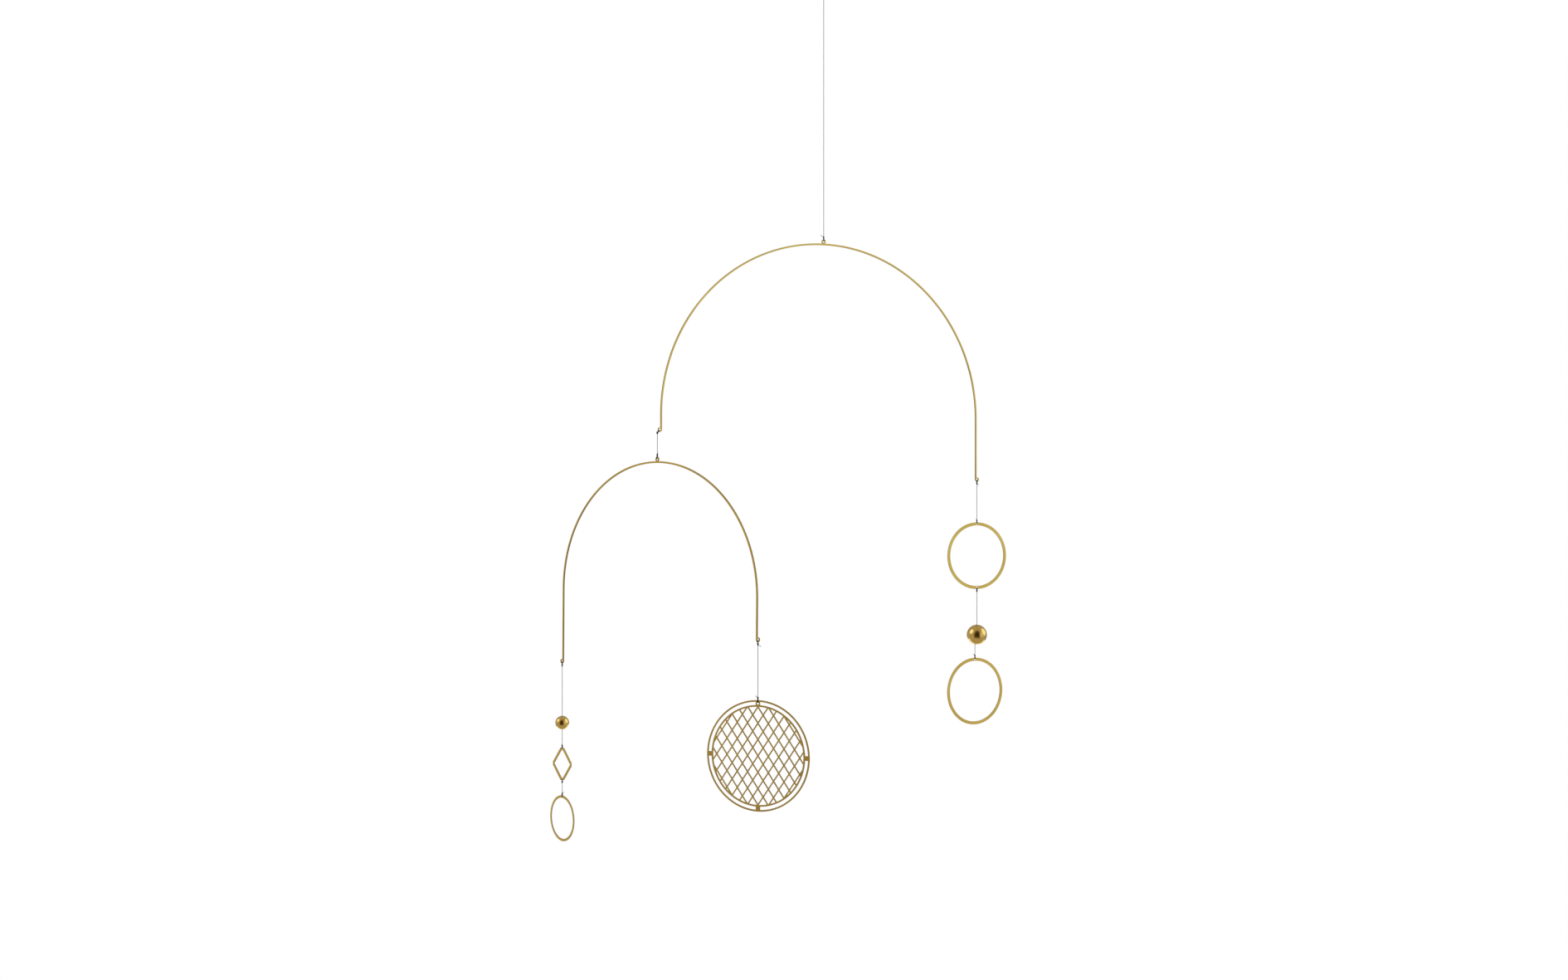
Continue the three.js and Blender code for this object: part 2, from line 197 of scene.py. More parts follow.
def spread(tree: Any, value: Any, given: tuple, wanted: tuple = (0, 1), how: str = "LINEAR") -> Any:
    """Return a value whose given range is spread over the wanted one."""
    ends = {"From Min": given[0], "From Max": given[1], "To Min": wanted[0], "To Max": wanted[1]}
    return add_node(tree, "ShaderNodeMapRange", {"interpolation_type": how}, {"Value": value, **ends})


def toned(tree: Any, share: Any, first: Any, second: Any, how: str = "MIX") -> Any:
    """Return a colour that goes from the first to the second as a share rises."""
    settings = {"data_type": "RGBA", "blend_type": how}
    return add_node(tree, "ShaderNodeMix", settings, {"Factor": share, 6: first, 7: second}).outputs[2]


def new_material(name: str) -> tuple[bpy.types.Material, Any]:
    """Return a new material and its node tree."""
    material = bpy.data.materials.new(name)
    material.use_nodes = True
    return material, material.node_tree


def dress(material: bpy.types.Material, inputs: dict) -> bpy.types.Material:
    """Set or link the inputs of a material's surface, and return the material."""
    connect(material.node_tree, material.node_tree.nodes["Principled BSDF"], inputs)
    return material


@dataclass(frozen=True)
class SatinBrass:
    """Rolled brass sheet, etched to shape: a pale soft gloss, with dull cut edges whose dark colour is
    painted shade.
    """

    name: str = "satin_rolled_brass"
    clean: str = "f7e07c"
    warm: str = "efd26f"
    dull: str = "e2c872"
    # Painted shade: the dark colour given to the cut edges and their rounded bevels
    edge: str = "8c7036"
    grain: float = 0.22
    rolling: tuple[float, float, float] = (0.04, 1, 1)
    cloud: float = 34.0
    grit: float = 0.05
    middle: tuple[float, float] = (0.3, 0.7)
    streak: tuple[float, float] = (0.965, 1.0)
    roughness: tuple[float, float] = (0.24, 0.32)
    edge_roughness: float = 0.5
    relief: float = 0.01

    def build(self) -> bpy.types.Material:
        """Build the material.

        Returns:
            The brass, whose grain follows each piece's own place in its sheet.
        """
        material, tree = new_material(self.name)
        place, cut = (
            add_node(tree, "ShaderNodeAttribute", {"attribute_name": layer}).outputs[output]
            for layer, output in ((PLACE_LAYER, "Vector"), (EDGE_LAYER, "Fac"))
        )
        # Rolling leaves fine lines that run one way along the sheet
        lines = add_node(tree, "ShaderNodeMapping", inputs={"Vector": place, "Scale": self.rolling})
        grain = pattern(tree, lines, self.grain, 3.0)
        grit = pattern(tree, place, self.grit, 2.0)
        # Handling and air tone the metal in soft clouds
        cloud = pattern(tree, place, self.cloud, 4.0)
        tone = add_node(tree, "ShaderNodeValToRGB", inputs={"Fac": cloud})
        stops = tone.color_ramp.elements
        stops[0].position, stops[0].color = 0.30, linear(self.dull)
        stops[1].position, stops[1].color = 0.68, linear(self.clean)
        stops.new(0.46).color = linear(self.warm)
        streaks = toned(tree, 1.0, tone, spread(tree, grain, self.middle, self.streak), "MULTIPLY")
        glosses = {2: spread(tree, grain, self.middle, self.roughness), 3: self.edge_roughness}
        shine = add_node(tree, "ShaderNodeMix", inputs={"Factor": cut, **glosses})
        relief = sum_of(tree, "MULTIPLY_ADD", grit, 0.5, grain)
        marks = {"Strength": 0.08, "Distance": self.relief * MM, "Height": relief}
        # The cut edges and bevels turn dark by how far they face away from the sheet's faces: painted
        # shade, while their dull gloss is the metal's own
        return dress(
            material,
            {
                "Base Color": toned(tree, cut, streaks, linear(self.edge)),
                "Roughness": shine,
                "Normal": add_node(tree, "ShaderNodeBump", inputs=marks),
                "Metallic": 1.0,
            },
        )


@dataclass(frozen=True)
class PolishedBrass:
    """Turned brass balls, polished bright: mirror-like, with hair-fine turning and wiping marks."""

    name: str = "polished_turned_brass"
    clean: str = "f6dc8c"
    warm: str = "ecc86e"
    cloud: float = 5.0
    turning: float = 0.22
    round_bore: tuple[float, float, float] = (0.06, 0.06, 1)
    wiping: float = 0.7
    wiped: tuple[float, float] = (0.35, 0.7)
    roughness: tuple[float, float] = (0.14, 0.21)
    relief: float = 0.01

    def build(self) -> bpy.types.Material:
        """Build the material.

        Returns:
            The polished brass, marked round the axis that each ball was turned on.
        """
        material, tree = new_material(self.name)
        layer = add_node(tree, "ShaderNodeAttribute", {"attribute_name": PLACE_LAYER})
        place = layer.outputs["Vector"]
        cloud = pattern(tree, place, self.cloud, 3.0)
        # The tool's marks run round the ball, so the pattern is drawn out across its bore
        around = add_node(
            tree, "ShaderNodeMapping", inputs={"Vector": place, "Scale": self.round_bore}
        )
        turning = pattern(tree, around, self.turning, 2.0)
        marks = {"Strength": 0.06, "Distance": self.relief * MM, "Height": turning}
        wiping = pattern(tree, place, self.wiping, 5.0)
        return dress(
            material,
            {
                "Base Color": toned(tree, cloud, linear(self.clean), linear(self.warm)),
                "Roughness": spread(tree, wiping, self.wiped, self.roughness),
                "Normal": add_node(tree, "ShaderNodeBump", inputs=marks),
                "Metallic": 1.0,
            },
        )


@dataclass(frozen=True)
class TwistedThread:
    """Three-ply black polyester thread: matt, with pale fibre sheen along its plies."""

    name: str = "black_twisted_polyester"
    dark: str = "050506"
    fibre: str = "161618"
    fibre_width: float = 0.06
    patch: float = 1.4
    worn: tuple[float, float] = (0.12, 0.42)
    roughness: tuple[float, float] = (0.62, 0.85)
    relief: float = 0.03

    def build(self) -> bpy.types.Material:
        """Build the material.

        Returns:
            The thread's material.
        """
        material, tree = new_material(self.name)
        place = add_node(tree, "ShaderNodeTexCoord").outputs["Object"]
        fibres = pattern(tree, place, self.fibre_width, 2.0)
        patches = pattern(tree, place, self.patch, 3.0)
        worn = spread(tree, sum_of(tree, "MULTIPLY", fibres, patches), self.worn)
        marks = {"Strength": 0.6, "Distance": self.relief * MM, "Height": fibres}
        return dress(
            material,
            {
                "Base Color": toned(tree, worn, linear(self.dark), linear(self.fibre)),
                "Roughness": spread(tree, patches, (0, 1), self.roughness),
                "Normal": add_node(tree, "ShaderNodeBump", inputs=marks),
                "Sheen Weight": 0.06,
                "Sheen Roughness": 0.5,
                "Specular IOR Level": 0.25,
            },
        )


@dataclass(frozen=True)
class StudioPaper:
    """White background paper: matt and barely mottled, and lit through from behind."""

    name: str = "white_background_paper"
    light: str = "f7f7f6"
    shade: str = "f1f1f0"
    mottle: float = 60.0
    glow: str = "eff7ff"
    glow_strength: float = 0.64

    def build(self) -> bpy.types.Material:
        """Build the material.

        Returns:
            The floor's paper.
        """
        material, tree = new_material(self.name)
        place = add_node(tree, "ShaderNodeTexCoord").outputs["Object"]
        mottle = pattern(tree, place, self.mottle, 4.0)
        return dress(
            material,
            {
                "Base Color": toned(tree, mottle, linear(self.light), linear(self.shade)),
                "Emission Color": linear(self.glow),
                "Emission Strength": self.glow_strength,
                "Roughness": 0.9,
                "Specular IOR Level": 0.1,
            },
        )


# Geometry node trees


class SocketKind(Enum):
    """The kinds of named input that the geometry trees have."""

    LENGTH = "NodeSocketFloat"
    COUNT = "NodeSocketInt"
    PLACE = "NodeSocketVector"
    MATERIAL = "NodeSocketMaterial"


class ShapeTree:
    """A geometry node tree with named inputs, whose result becomes a plain mesh."""

    def __init__(self, name: str, lengths: Sequence[str], others: dict | None = None) -> None:
        """Start the tree.

        Args:
            name: The tree's name.
            lengths: The names of its lengths, in metres.
            others: The kinds of its other inputs by name.
        """
        self.tree = bpy.data.node_groups.new(name, "GeometryNodeTree")
        interface = self.tree.interface
        interface.new_socket("Geometry", in_out="INPUT", socket_type="NodeSocketGeometry")
        self.sockets: dict[str, str] = {}
        self.made = 0
        kinds = {label: SocketKind.LENGTH for label in lengths} | (others or {})
        kinds |= {"Stock place": SocketKind.PLACE, "Material": SocketKind.MATERIAL}
        for label, kind in kinds.items():
            socket = interface.new_socket(label, in_out="INPUT", socket_type=kind.value)
            self.sockets[label] = socket.identifier
        interface.new_socket("Geometry", in_out="OUTPUT", socket_type="NodeSocketGeometry")
        self.given = self.add("NodeGroupInput").outputs

    def add(self, kind: str, settings: dict | None = None, inputs: dict | None = None) -> Any:
        """Add a node to this tree and return it."""
        return add_node(self.tree, kind, settings, inputs)

    def sum(self, kind: str, *values: Any) -> Any:
        """Return the result of one sum of sockets or numbers in this tree."""
        return sum_of(self.tree, kind, *values)

    def times(self, value: Any, factor: float) -> Any:
        """Return a value made a number of times as large."""
        return self.sum("MULTIPLY", value, factor)

    def sheet_side(self, geometry: Any) -> Any:
        """Turn a shape that was drawn flat on the floor up into the sheet's own XZ plane."""
        upright = {"Geometry": geometry, "Rotation": (math.pi / 2, 0, 0)}
        return self.add("GeometryNodeTransform", inputs=upright)

    def strip(self, path: Any, width: Any, thickness: Any) -> Any:
        """Sweep a flat section, with edges as round as the input Edge, along a path.

        Args:
            path: The curve of the strip's middle, in the XZ plane.
            width: Its width across the path, in the sheet's plane.
            thickness: The sheet's thickness, along Y.

        Returns:
            The strip's mesh.
        """
        facing = {"Curve": path, "Normal": (0, 1, 0)}
        middle = self.add("GeometryNodeSetCurveNormal", {"mode": "FREE"}, facing)
        size = {"Width": thickness, "Height": width}
        section = self.add("GeometryNodeCurvePrimitiveQuadrilateral", inputs=size)
        rounding = {"Curve": section, "Count": BEVEL_STEPS, "Radius": self.given["Edge"]}
        rounded = self.add("GeometryNodeFilletCurve", {"mode": "POLY"}, rounding)
        sweep = {"Curve": middle, "Profile Curve": rounded, "Fill Caps": True}
        return self.add("GeometryNodeCurveToMesh", inputs=sweep)

    def washer(self, radius: Any, sides: int, width: Any, thickness: Any) -> Any:
        """Return a flat ring round the origin, by the radius of its middle."""
        circle = {"Resolution": sides, "Radius": radius}
        path = self.sheet_side(self.add("GeometryNodeCurvePrimitiveCircle", inputs=circle))
        return self.strip(path, width, thickness)

    def drill(self, radius: Any, depth: Any, sides: int) -> Any:
        """Return a round cutter across the sheet, at the origin."""
        size = {"Vertices": sides, "Radius": radius, "Depth": depth}
        return self.sheet_side(self.add("GeometryNodeMeshCylinder", inputs=size))

    def prism(self, width: Any, height: Any, depth: Any) -> Any:
        """Return a diamond-shaped prism through the sheet, at the origin."""
        unit = {"Vertices": 4, "Radius": 1.0, "Depth": 1.0}
        size = (self.times(width, 0.5), self.times(height, 0.5), depth)
        shape = self.add("GeometryNodeMeshCylinder", inputs=unit)
        return self.add("GeometryNodeTransform", inputs={"Geometry": shape, "Scale": size})

    def copies(self, points: Any, shape: Any, shown: Any = True) -> Any:
        """Return a shape repeated on points, on those where it is shown."""
        inputs = {"Points": points, "Selection": shown, "Instance": shape}
        instances = self.add("GeometryNodeInstanceOnPoints", inputs=inputs)
        return self.add("GeometryNodeRealizeInstances", inputs={0: instances})

    def at(self, places: Sequence[Any], shape: Any) -> list[Any]:
        """Return a shape set at each of some places."""
        moves = [{"Geometry": shape, "Translation": place} for place in places]
        return [self.add("GeometryNodeTransform", inputs=move) for move in moves]

    def combine(self, how: str, shapes: Any, solid: Any = None) -> Any:
        """Return the UNION or INTERSECT of shapes, or a solid's DIFFERENCE from them."""
        inputs = {"Mesh 2": shapes} if solid is None else {"Mesh 1": solid, "Mesh 2": shapes}
        return self.add("GeometryNodeMeshBoolean", {"operation": how, "solver": "EXACT"}, inputs)

    def cut(self, solid: Any, cutters: Any) -> Any:
        """Return a solid with cutters taken out of it."""
        return self.combine("DIFFERENCE", cutters, solid)

    def close(self, geometry: Any) -> "ShapeTree":
        """End the tree: keep each point's place and each face's share of cut edge, and dress it.

        Args:
            geometry: The finished shape.

        Returns:
            The tree, ready to make pieces.
        """
        shape = self.add("GeometryNodeRealizeInstances", inputs={"Geometry": geometry})
        place = {0: self.add("GeometryNodeInputPosition"), 1: self.given["Stock place"]}
        stock = self.add("ShaderNodeVectorMath", {"operation": "ADD"}, place)
        facing = self.add("ShaderNodeSeparateXYZ", inputs={0: self.add("GeometryNodeInputNormal")})
        # How far a face turns away from the sheet's faces: the brass roughens there and is darkened by
        # painted shade
        cut = self.sum("SUBTRACT", 1.0, self.sum("ABSOLUTE", facing.outputs["Y"]))
        for name, kind, domain, value in (
            (PLACE_LAYER, "FLOAT_VECTOR", "POINT", stock),
            (EDGE_LAYER, "FLOAT", "FACE", cut),
        ):
            settings = {"data_type": kind, "domain": domain}
            inputs = {"Geometry": shape, "Name": name, "Value": value}
            shape = self.add("GeometryNodeStoreNamedAttribute", settings, inputs)
        finish = {"Geometry": shape, "Material": self.given["Material"]}
        self.add("NodeGroupOutput", inputs={0: self.add("GeometryNodeSetMaterial", inputs=finish)})
        return self

    def make(
        self,
        name: str,
        values: dict[str, Any],
        material: bpy.types.Material,
        points: Sequence[Vector] = (),
    ) -> bpy.types.Mesh:
        """Run the tree and keep its result.

        Args:
            name: The mesh's name.
            values: The inputs' values by name.
            material: The finish.
            points: A path for trees that sweep along one, in millimetres.

        Returns:
            The plain mesh.
        """
        source = bpy.data.meshes.new(f"{name}_path")
        chords = [(i, i + 1) for i in range(len(points) - 1)]
        source.from_pydata([tuple(point * MM) for point in points], chords, [])
        carrier = bpy.data.objects.new(f"{name}_carrier", source)
        bpy.context.scene.collection.objects.link(carrier)
        modifier = carrier.modifiers.new("shape", "NODES")
        modifier.node_group = self.tree
        # Each piece comes from its own part of the stock, so no two share a pattern
        self.made += 1
        stock = Vector((0.31, 0, 0.17)) * self.made
        for label, value in {**values, "Stock place": stock, "Material": material}.items():
            modifier[self.sockets[label]] = value
        evaluated = carrier.evaluated_get(bpy.context.evaluated_depsgraph_get())
        mesh = bpy.data.meshes.new_from_object(evaluated)
        mesh.name = name
        carrier.modifiers.remove(modifier)
        bpy.data.objects.remove(carrier)
        bpy.data.meshes.remove(source)
        return mesh


def ring_tree() -> ShapeTree:
    """Build the tree of a flat ring with drilled holes.

    Returns:
        The tree. Its ring stands in the XZ plane round the origin, its first hole at the top.
    """
    lengths = ("Middle radius", "Band", "Sheet", "Edge", "Hole radius")
    tree = ShapeTree("flat ring", lengths, {"Holes": SocketKind.COUNT})
    given = tree.given
    radius = given["Middle radius"]
    band = tree.washer(radius, RING_SIDES, given["Band"], given["Sheet"])
    across = {"Start Location": (0, 0, radius), "Offset": (0, 0, tree.times(radius, -2.0))}
    places = tree.add("GeometryNodeMeshLine", inputs={"Count": given["Holes"], **across})
    cutter = tree.drill(given["Hole radius"], tree.times(given["Sheet"], 3.0), HOLE_SIDES)
    return tree.close(tree.cut(band, tree.copies(places, cutter)))


def arch_tree() -> ShapeTree:
    """Build the tree of an arch: a flat band along a path, with an eyelet at its top and feet.

    Returns:
        The tree. The top eyelet is at the origin.
    """
    lengths = ("Band", "Sheet", "Edge", "Hole radius", "Eyelet radius")
    labels = ("Top", "Left foot", "Right foot")
    tree = ShapeTree("arch", lengths, {label: SocketKind.PLACE for label in labels})
    given = tree.given
    path = tree.add("GeometryNodeMeshToCurve", inputs={0: given["Geometry"]})
    band = tree.strip(path, given["Band"], given["Sheet"])
    rim = tree.sum("SUBTRACT", given["Eyelet radius"], given["Hole radius"])
    middle = tree.times(tree.sum("ADD", given["Eyelet radius"], given["Hole radius"]), 0.5)
    washer = tree.washer(middle, EYELET_SIDES, rim, tree.times(given["Sheet"], PROUD))
    cutter = tree.drill(middle, tree.times(given["Sheet"], 3.0), BAND_CUT_SIDES)
    places = [given[label] for label in labels]
    cutters, washers = tree.at(places, cutter), tree.at(places, washer)
    # The band ends inside each eyelet's metal and leaves its hole free
    return tree.close(tree.combine("UNION", [tree.cut(band, cutters), *washers]))


def lattice_tree() -> ShapeTree:
    """Build the tree of the lattice disc: windows and a gap cut out of a round sheet.

    Returns:
        The tree. The disc stands in the XZ plane round the origin, its hole at the top.
    """
    lengths = (
        *("Outer radius", "Gap outer", "Gap inner", "Field radius", "Bridge", "Sheet"),
        *("Hole radius", "Hole height", "Least window", "Cell width", "Cell height"),
        *("Window width", "Window height"),
    )
    counts = {"Columns": SocketKind.COUNT, "Rows": SocketKind.COUNT}
    tree = ShapeTree("lattice disc", lengths, counts)
    given = tree.given
    thick = [tree.times(given["Sheet"], factor) for factor in (2.0, 3.0, 4.0)]
    disc = tree.drill(given["Outer radius"], given["Sheet"], DISC_SIDES)

    # A window is cut where its nearest corner lies well enough inside the field
    window = tree.prism(given["Window width"], given["Window height"], thick[1])
    place = {0: tree.add("GeometryNodeInputPosition")}
    beside = tree.add("ShaderNodeVectorMath", {"operation": "ABSOLUTE"}, place)
    reaches = []
    for corner in (
        (tree.times(given["Window width"], 0.5), 0, 0),
        (0, tree.times(given["Window height"], 0.5), 0),
    ):
        ends = {0: beside, 1: corner}
        gap = tree.add("ShaderNodeVectorMath", {"operation": "DISTANCE"}, ends)
        reaches.append(gap.outputs["Value"])
    inner = tree.sum("SUBTRACT", given["Field radius"], given["Least window"])
    shown = tree.sum("LESS_THAN", tree.sum("MINIMUM", *reaches), inner)

    # The windows stand on two grids that are half a cell apart
    grids = []
    for fewer_columns, fewer_rows in ((1, 0), (0, 1)):
        size = {}
        for axis, count, fewer, cell in (
            ("X", "Columns", fewer_columns, "Cell width"),
            ("Y", "Rows", fewer_rows, "Cell height"),
        ):
            number = tree.sum("SUBTRACT", given[count], fewer)
            size[f"Vertices {axis}"] = number
            size[f"Size {axis}"] = tree.sum("MULTIPLY", given[cell], tree.sum("SUBTRACT", number, 1.0))
        grids.append(tree.add("GeometryNodeMeshGrid", inputs=size))
    centres = tree.add("GeometryNodeJoinGeometry", inputs={0: grids})
    windows = tree.sheet_side(tree.copies(centres, window, shown))
    field_disc = tree.drill(given["Field radius"], thick[0], RING_SIDES)
    inside = tree.combine("INTERSECT", [field_disc, windows])

    # The round gap between the two rims, bridged at the top, the bottom and both sides
    gap = tree.cut(
        tree.drill(given["Gap outer"], thick[0], GAP_SIDES[0]),
        tree.drill(given["Gap inner"], thick[1], GAP_SIDES[1]),
    )
    bridge, length = given["Bridge"], tree.times(given["Outer radius"], 2.0)
    for size in ((bridge, thick[2], length), (length, thick[2], bridge)):
        gap = tree.cut(gap, tree.add("GeometryNodeMeshCube", inputs={"Size": size}))
    drill = tree.drill(given["Hole radius"], thick[2], HOLE_SIDES)
    hole = tree.at([(0, 0, given["Hole height"])], drill)
    return tree.close(tree.cut(disc, [inside, gap, *hole]))


def diamond_tree() -> ShapeTree:
    """Build the tree of the flat open diamond, its corners blunt and its two holes drilled.

    Returns:
        The tree. The diamond stands in the XZ plane round the origin.
    """
    lengths = (
        *("Width", "Height", "Window width", "Window height", "Blunt width", "Blunt height"),
        *("Sheet", "Hole radius", "Boss radius", "Hole height"),
    )
    tree = ShapeTree("open diamond", lengths)
    given = tree.given
    thick = [tree.times(given["Sheet"], factor) for factor in (PROUD, 2.0, 3.0)]
    sharp = tree.sheet_side(tree.prism(given["Width"], given["Height"], given["Sheet"]))
    size = (given["Blunt width"], thick[1], given["Blunt height"])
    block = tree.add("GeometryNodeMeshCube", inputs={"Size": size})
    blunt = tree.combine("INTERSECT", [sharp, block])
    window = tree.sheet_side(tree.prism(given["Window width"], given["Window height"], thick[1]))
    places = [(0, 0, tree.times(given["Hole height"], side)) for side in (1.0, -1.0)]
    bosses = tree.at(places, tree.drill(given["Boss radius"], thick[0], HOLE_SIDES))
    holes = tree.at(places, tree.drill(given["Hole radius"], thick[2], HOLE_SIDES))
    return tree.close(tree.cut(tree.combine("UNION", [tree.cut(blunt, window), *bosses]), holes))


def ball_tree() -> ShapeTree:
    """Build the tree of a drilled ball with a recess for its knot.

    Returns:
        The tree. The bore runs from the top to a point beside the bottom.
    """
    lengths = ("Radius", "Bore radius", "Recess radius", "Recess depth", "Lean", "Shift")
    tree = ShapeTree("drilled ball", lengths)
    given = tree.given
    size = {"Segments": BALL_SIDES[0], "Rings": BALL_SIDES[1], "Radius": given["Radius"]}
    sphere = tree.add("GeometryNodeMeshUVSphere", inputs=size)
    lowest = tree.times(given["Radius"], -1.0)
    cutters = []
    for radius, depth, share, height in (
        (given["Bore radius"], tree.times(given["Radius"], 4.0), 0.5, 0.0),
        (given["Recess radius"], tree.times(given["Recess depth"], 2.0), 1.0, lowest),
    ):
        size = {"Vertices": HOLE_SIDES, "Radius": radius, "Depth": depth}
        moves = {
            "Geometry": tree.add("GeometryNodeMeshCylinder", inputs=size),
            "Translation": (tree.times(given["Shift"], -share), 0, height),
            "Rotation": (0, given["Lean"], 0),
        }
        cutters.append(tree.add("GeometryNodeTransform", inputs=moves))
    return tree.close(tree.cut(sphere, cutters))


def thread_tree() -> ShapeTree:
    """Build the tree of a plied thread: three strands that twist round each other along a path.

    Returns:
        The tree.
    """
    tree = ShapeTree("plied thread", ("Diameter", "Lay"))
    given = tree.given
    path = {"Curve": tree.add("GeometryNodeMeshToCurve", inputs={0: given["Geometry"]})}
    smooth = tree.add("GeometryNodeCurveSplineType", {"spline_type": "CATMULL_ROM"}, path)
    fineness = {"Geometry": smooth, "Resolution": 24}
    fine = tree.add("GeometryNodeSetSplineResolution", inputs=fineness)
    step = {"Curve": fine, "Length": tree.sum("DIVIDE", given["Lay"], 11.0)}
    even = tree.add("GeometryNodeResampleCurve", {"mode": "LENGTH"}, step)
    along = tree.add("GeometryNodeSplineParameter").outputs["Length"]
    turns = tree.sum("DIVIDE", along, given["Lay"])
    twist = {"Curve": even, "Tilt": tree.times(turns, 2 * math.pi)}
    twisted = tree.add("GeometryNodeSetCurveTilt", inputs=twist)
    # Three touching strands fill the thread's diameter
    share = 1 / (1 + 2 / math.sqrt(3))
    strand = {"Resolution": 8, "Radius": tree.times(given["Diameter"], share / 2)}
    reach = tree.times(given["Diameter"], (1 - share) / 2)
    outwards = {
        "Geometry": tree.add("GeometryNodeCurvePrimitiveCircle", inputs=strand),
        "Translation": (reach, 0, 0),
    }
    shifted = tree.add("GeometryNodeTransform", inputs=outwards)
    turned_round = [
        {"Geometry": shifted, "Rotation": (0, 0, i * 2 * math.pi / 3)} for i in range(3)
    ]
    strands = [tree.add("GeometryNodeTransform", inputs=inputs) for inputs in turned_round]
    section = tree.add("GeometryNodeJoinGeometry", inputs={0: strands})
    sweep = {"Curve": twisted, "Profile Curve": section, "Fill Caps": True}
    return tree.close(tree.add("GeometryNodeCurveToMesh", inputs=sweep))


# Placing


def spot(x: float, y: float, z: float) -> Vector:
    """Return a place in millimetres as a vector."""
    return Vector((x, y, z))


def turned(degrees: float) -> Matrix:
    """Return the turn about the vertical by an angle in degrees."""
    return Matrix.Rotation(math.radians(degrees), 4, "Z")


def below(place: Vector, drop: float, shift: float = 0.0) -> Vector:
    """Return the place that hangs a drop below another, shifted along X."""
    return place + spot(shift, 0, -drop)


def standing(place: Vector, turn: Matrix | None = None) -> Matrix:
    """Return the matrix that sets a piece at a place in millimetres, turned about it."""
    return Matrix.Translation(place * MM) @ (turn or Matrix.Identity(4))


@dataclass(frozen=True)
class ArchSizes:
    """An arch's centre-line radius and its legs below the half circle, in millimetres."""

    radius: float
    left_leg: float
    right_leg: float
    tilt: float = 0.0

    def lean(self) -> Matrix:
        """Return the small turn in its own plane."""
        return Matrix.Rotation(math.radians(self.tilt), 4, "Y")

    def foot(self, side: int) -> Vector:
        """Return the middle of a foot's eyelet: side is -1 for the left leg and 1 for the right."""
        leg = self.left_leg if side < 0 else self.right_leg
        return spot(side * (self.radius + EYELET_OUTSET), 0, -EYELET_RISE - self.radius - leg)

    def path(self, steps: int) -> list[Vector]:
        """Return the band's middle line from the left foot to the right foot.

        Args:
            steps: How many chords the half circle has.

        Returns:
            The points in millimetres, from the arch's top eyelet.
        """
        middle = -EYELET_RISE - self.radius
        angles = [math.pi * (1 - i / steps) for i in range(steps + 1)]
        arc = [
            spot(self.radius * math.cos(a), 0, middle + self.radius * math.sin(a)) for a in angles
        ]
        left = spot(-self.radius, 0, middle - self.left_leg)
        right = spot(self.radius, 0, middle - self.right_leg)
        return [left, *arc, right]


UPPER_ARCH = ArchSizes(radius=150, left_leg=13, right_leg=54.3)
LOWER_ARCH = ArchSizes(radius=110, left_leg=64.2, right_leg=33.3, tilt=LOWER_ARCH_TILT)


@dataclass(frozen=True)
class RingSizes:
    """A flat ring's outer diameter, band and drilled hole, in millimetres."""

    outer: float
    band: float
    hole: float

    @property
    def middle(self) -> float:
        """Return the radius of the band's middle, where its holes are."""
        return (self.outer - self.band) / 2


LARGE_RING = RingSizes(outer=60, band=2.8, hole=DRILLED_HOLE)
SMALL_RING = RingSizes(outer=40, band=2.2, hole=FINE_HOLE)


@dataclass(frozen=True)
class DiamondSizes:
    """The diamond to its sharp corners, its band and the cuts that blunt the corners."""

    width: float = 23
    height: float = 34
    band: float = 2.1
    side_cut: float = 2.9
    top_cut: float = 3.9
    hole_edge: float = 0.5

    @property
    def side(self) -> float:
        """Return how far the blunt side corner is from the middle."""
        return (self.width - self.side_cut * self.width / self.height) / 2

    @property
    def top(self) -> float:
        """Return the height of the blunt top above the middle."""
        return (self.height - self.top_cut * self.height / self.width) / 2

    @property
    def hole(self) -> float:
        """Return the height of the drilled hole above the middle."""
        return self.top - self.hole_edge - FINE_HOLE / 2


DIAMOND = DiamondSizes()


@dataclass(frozen=True)
class LatticeSizes:
    """The lattice disc's rims, bars and cells, in millimetres."""

    outer: float = 90
    gap: float = 2.6
    rim: float = 1.4
    bar: float = 1.1
    cell_width: float = 9.1
    cell_height: float = 13.2
    bridge: float = 3.8

    @property
    def inner(self) -> float:
        """Return the inner rim's outer radius."""
        return self.outer / 2 - self.rim - self.gap

    @property
    def hole(self) -> float:
        """Return the height of the thread's hole above the middle."""
        return self.inner + self.gap / 2


LATTICE = LatticeSizes()


@dataclass(frozen=True)
class Layout:
    """Where each piece hangs, in millimetres, worked down from the hanging loop."""

    upper_eyelet: Vector = field(default_factory=lambda: spot(0, 0, -CEILING_DROP))

    @property
    def ring_eyelet(self) -> Vector:
        """Return the eyelet of the wide arch's long leg."""
        return self.upper_eyelet + UPPER_ARCH.foot(1)

    @property
    def link_eyelet(self) -> Vector:
        """Return the eyelet of the wide arch's short leg."""
        return self.upper_eyelet + UPPER_ARCH.foot(-1)

    @property
    def link_knot(self) -> Vector:
        """Return the knot on the outer side of the link's eyelet."""
        reach = EYELET_RADIUS + GAP + KNOT_LENGTH / 2
        lean = math.radians(LINK_LEAN)
        return self.link_eyelet + spot(-reach * math.sin(lean), 0, -reach * math.cos(lean))

    @property
    def lower_eyelet(self) -> Vector:
        """Return the small arch's top eyelet."""
        return spot(self.link_knot.x, 0, self.link_eyelet.z - LINK_DROP)

    def lower_foot(self, side: int) -> Vector:
        """Return a foot's eyelet of the small arch, turned and tilted with it."""
        foot = LOWER_ARCH.lean() @ LOWER_ARCH.foot(side)
        return self.lower_eyelet + turned(LOWER_ARCH_TURN) @ foot


LAYOUT = Layout()


def in_bore(middle: Vector, diameter: float, shift: float) -> Vector:
    """Return the place of the knot in a ball's recess, which holds the ball up."""
    height = RECESS_DEPTH - GAP - STOPPER_LENGTH / 2
    return below(middle, diameter / 2 - height, -shift * (1 - height / diameter))


# Pieces


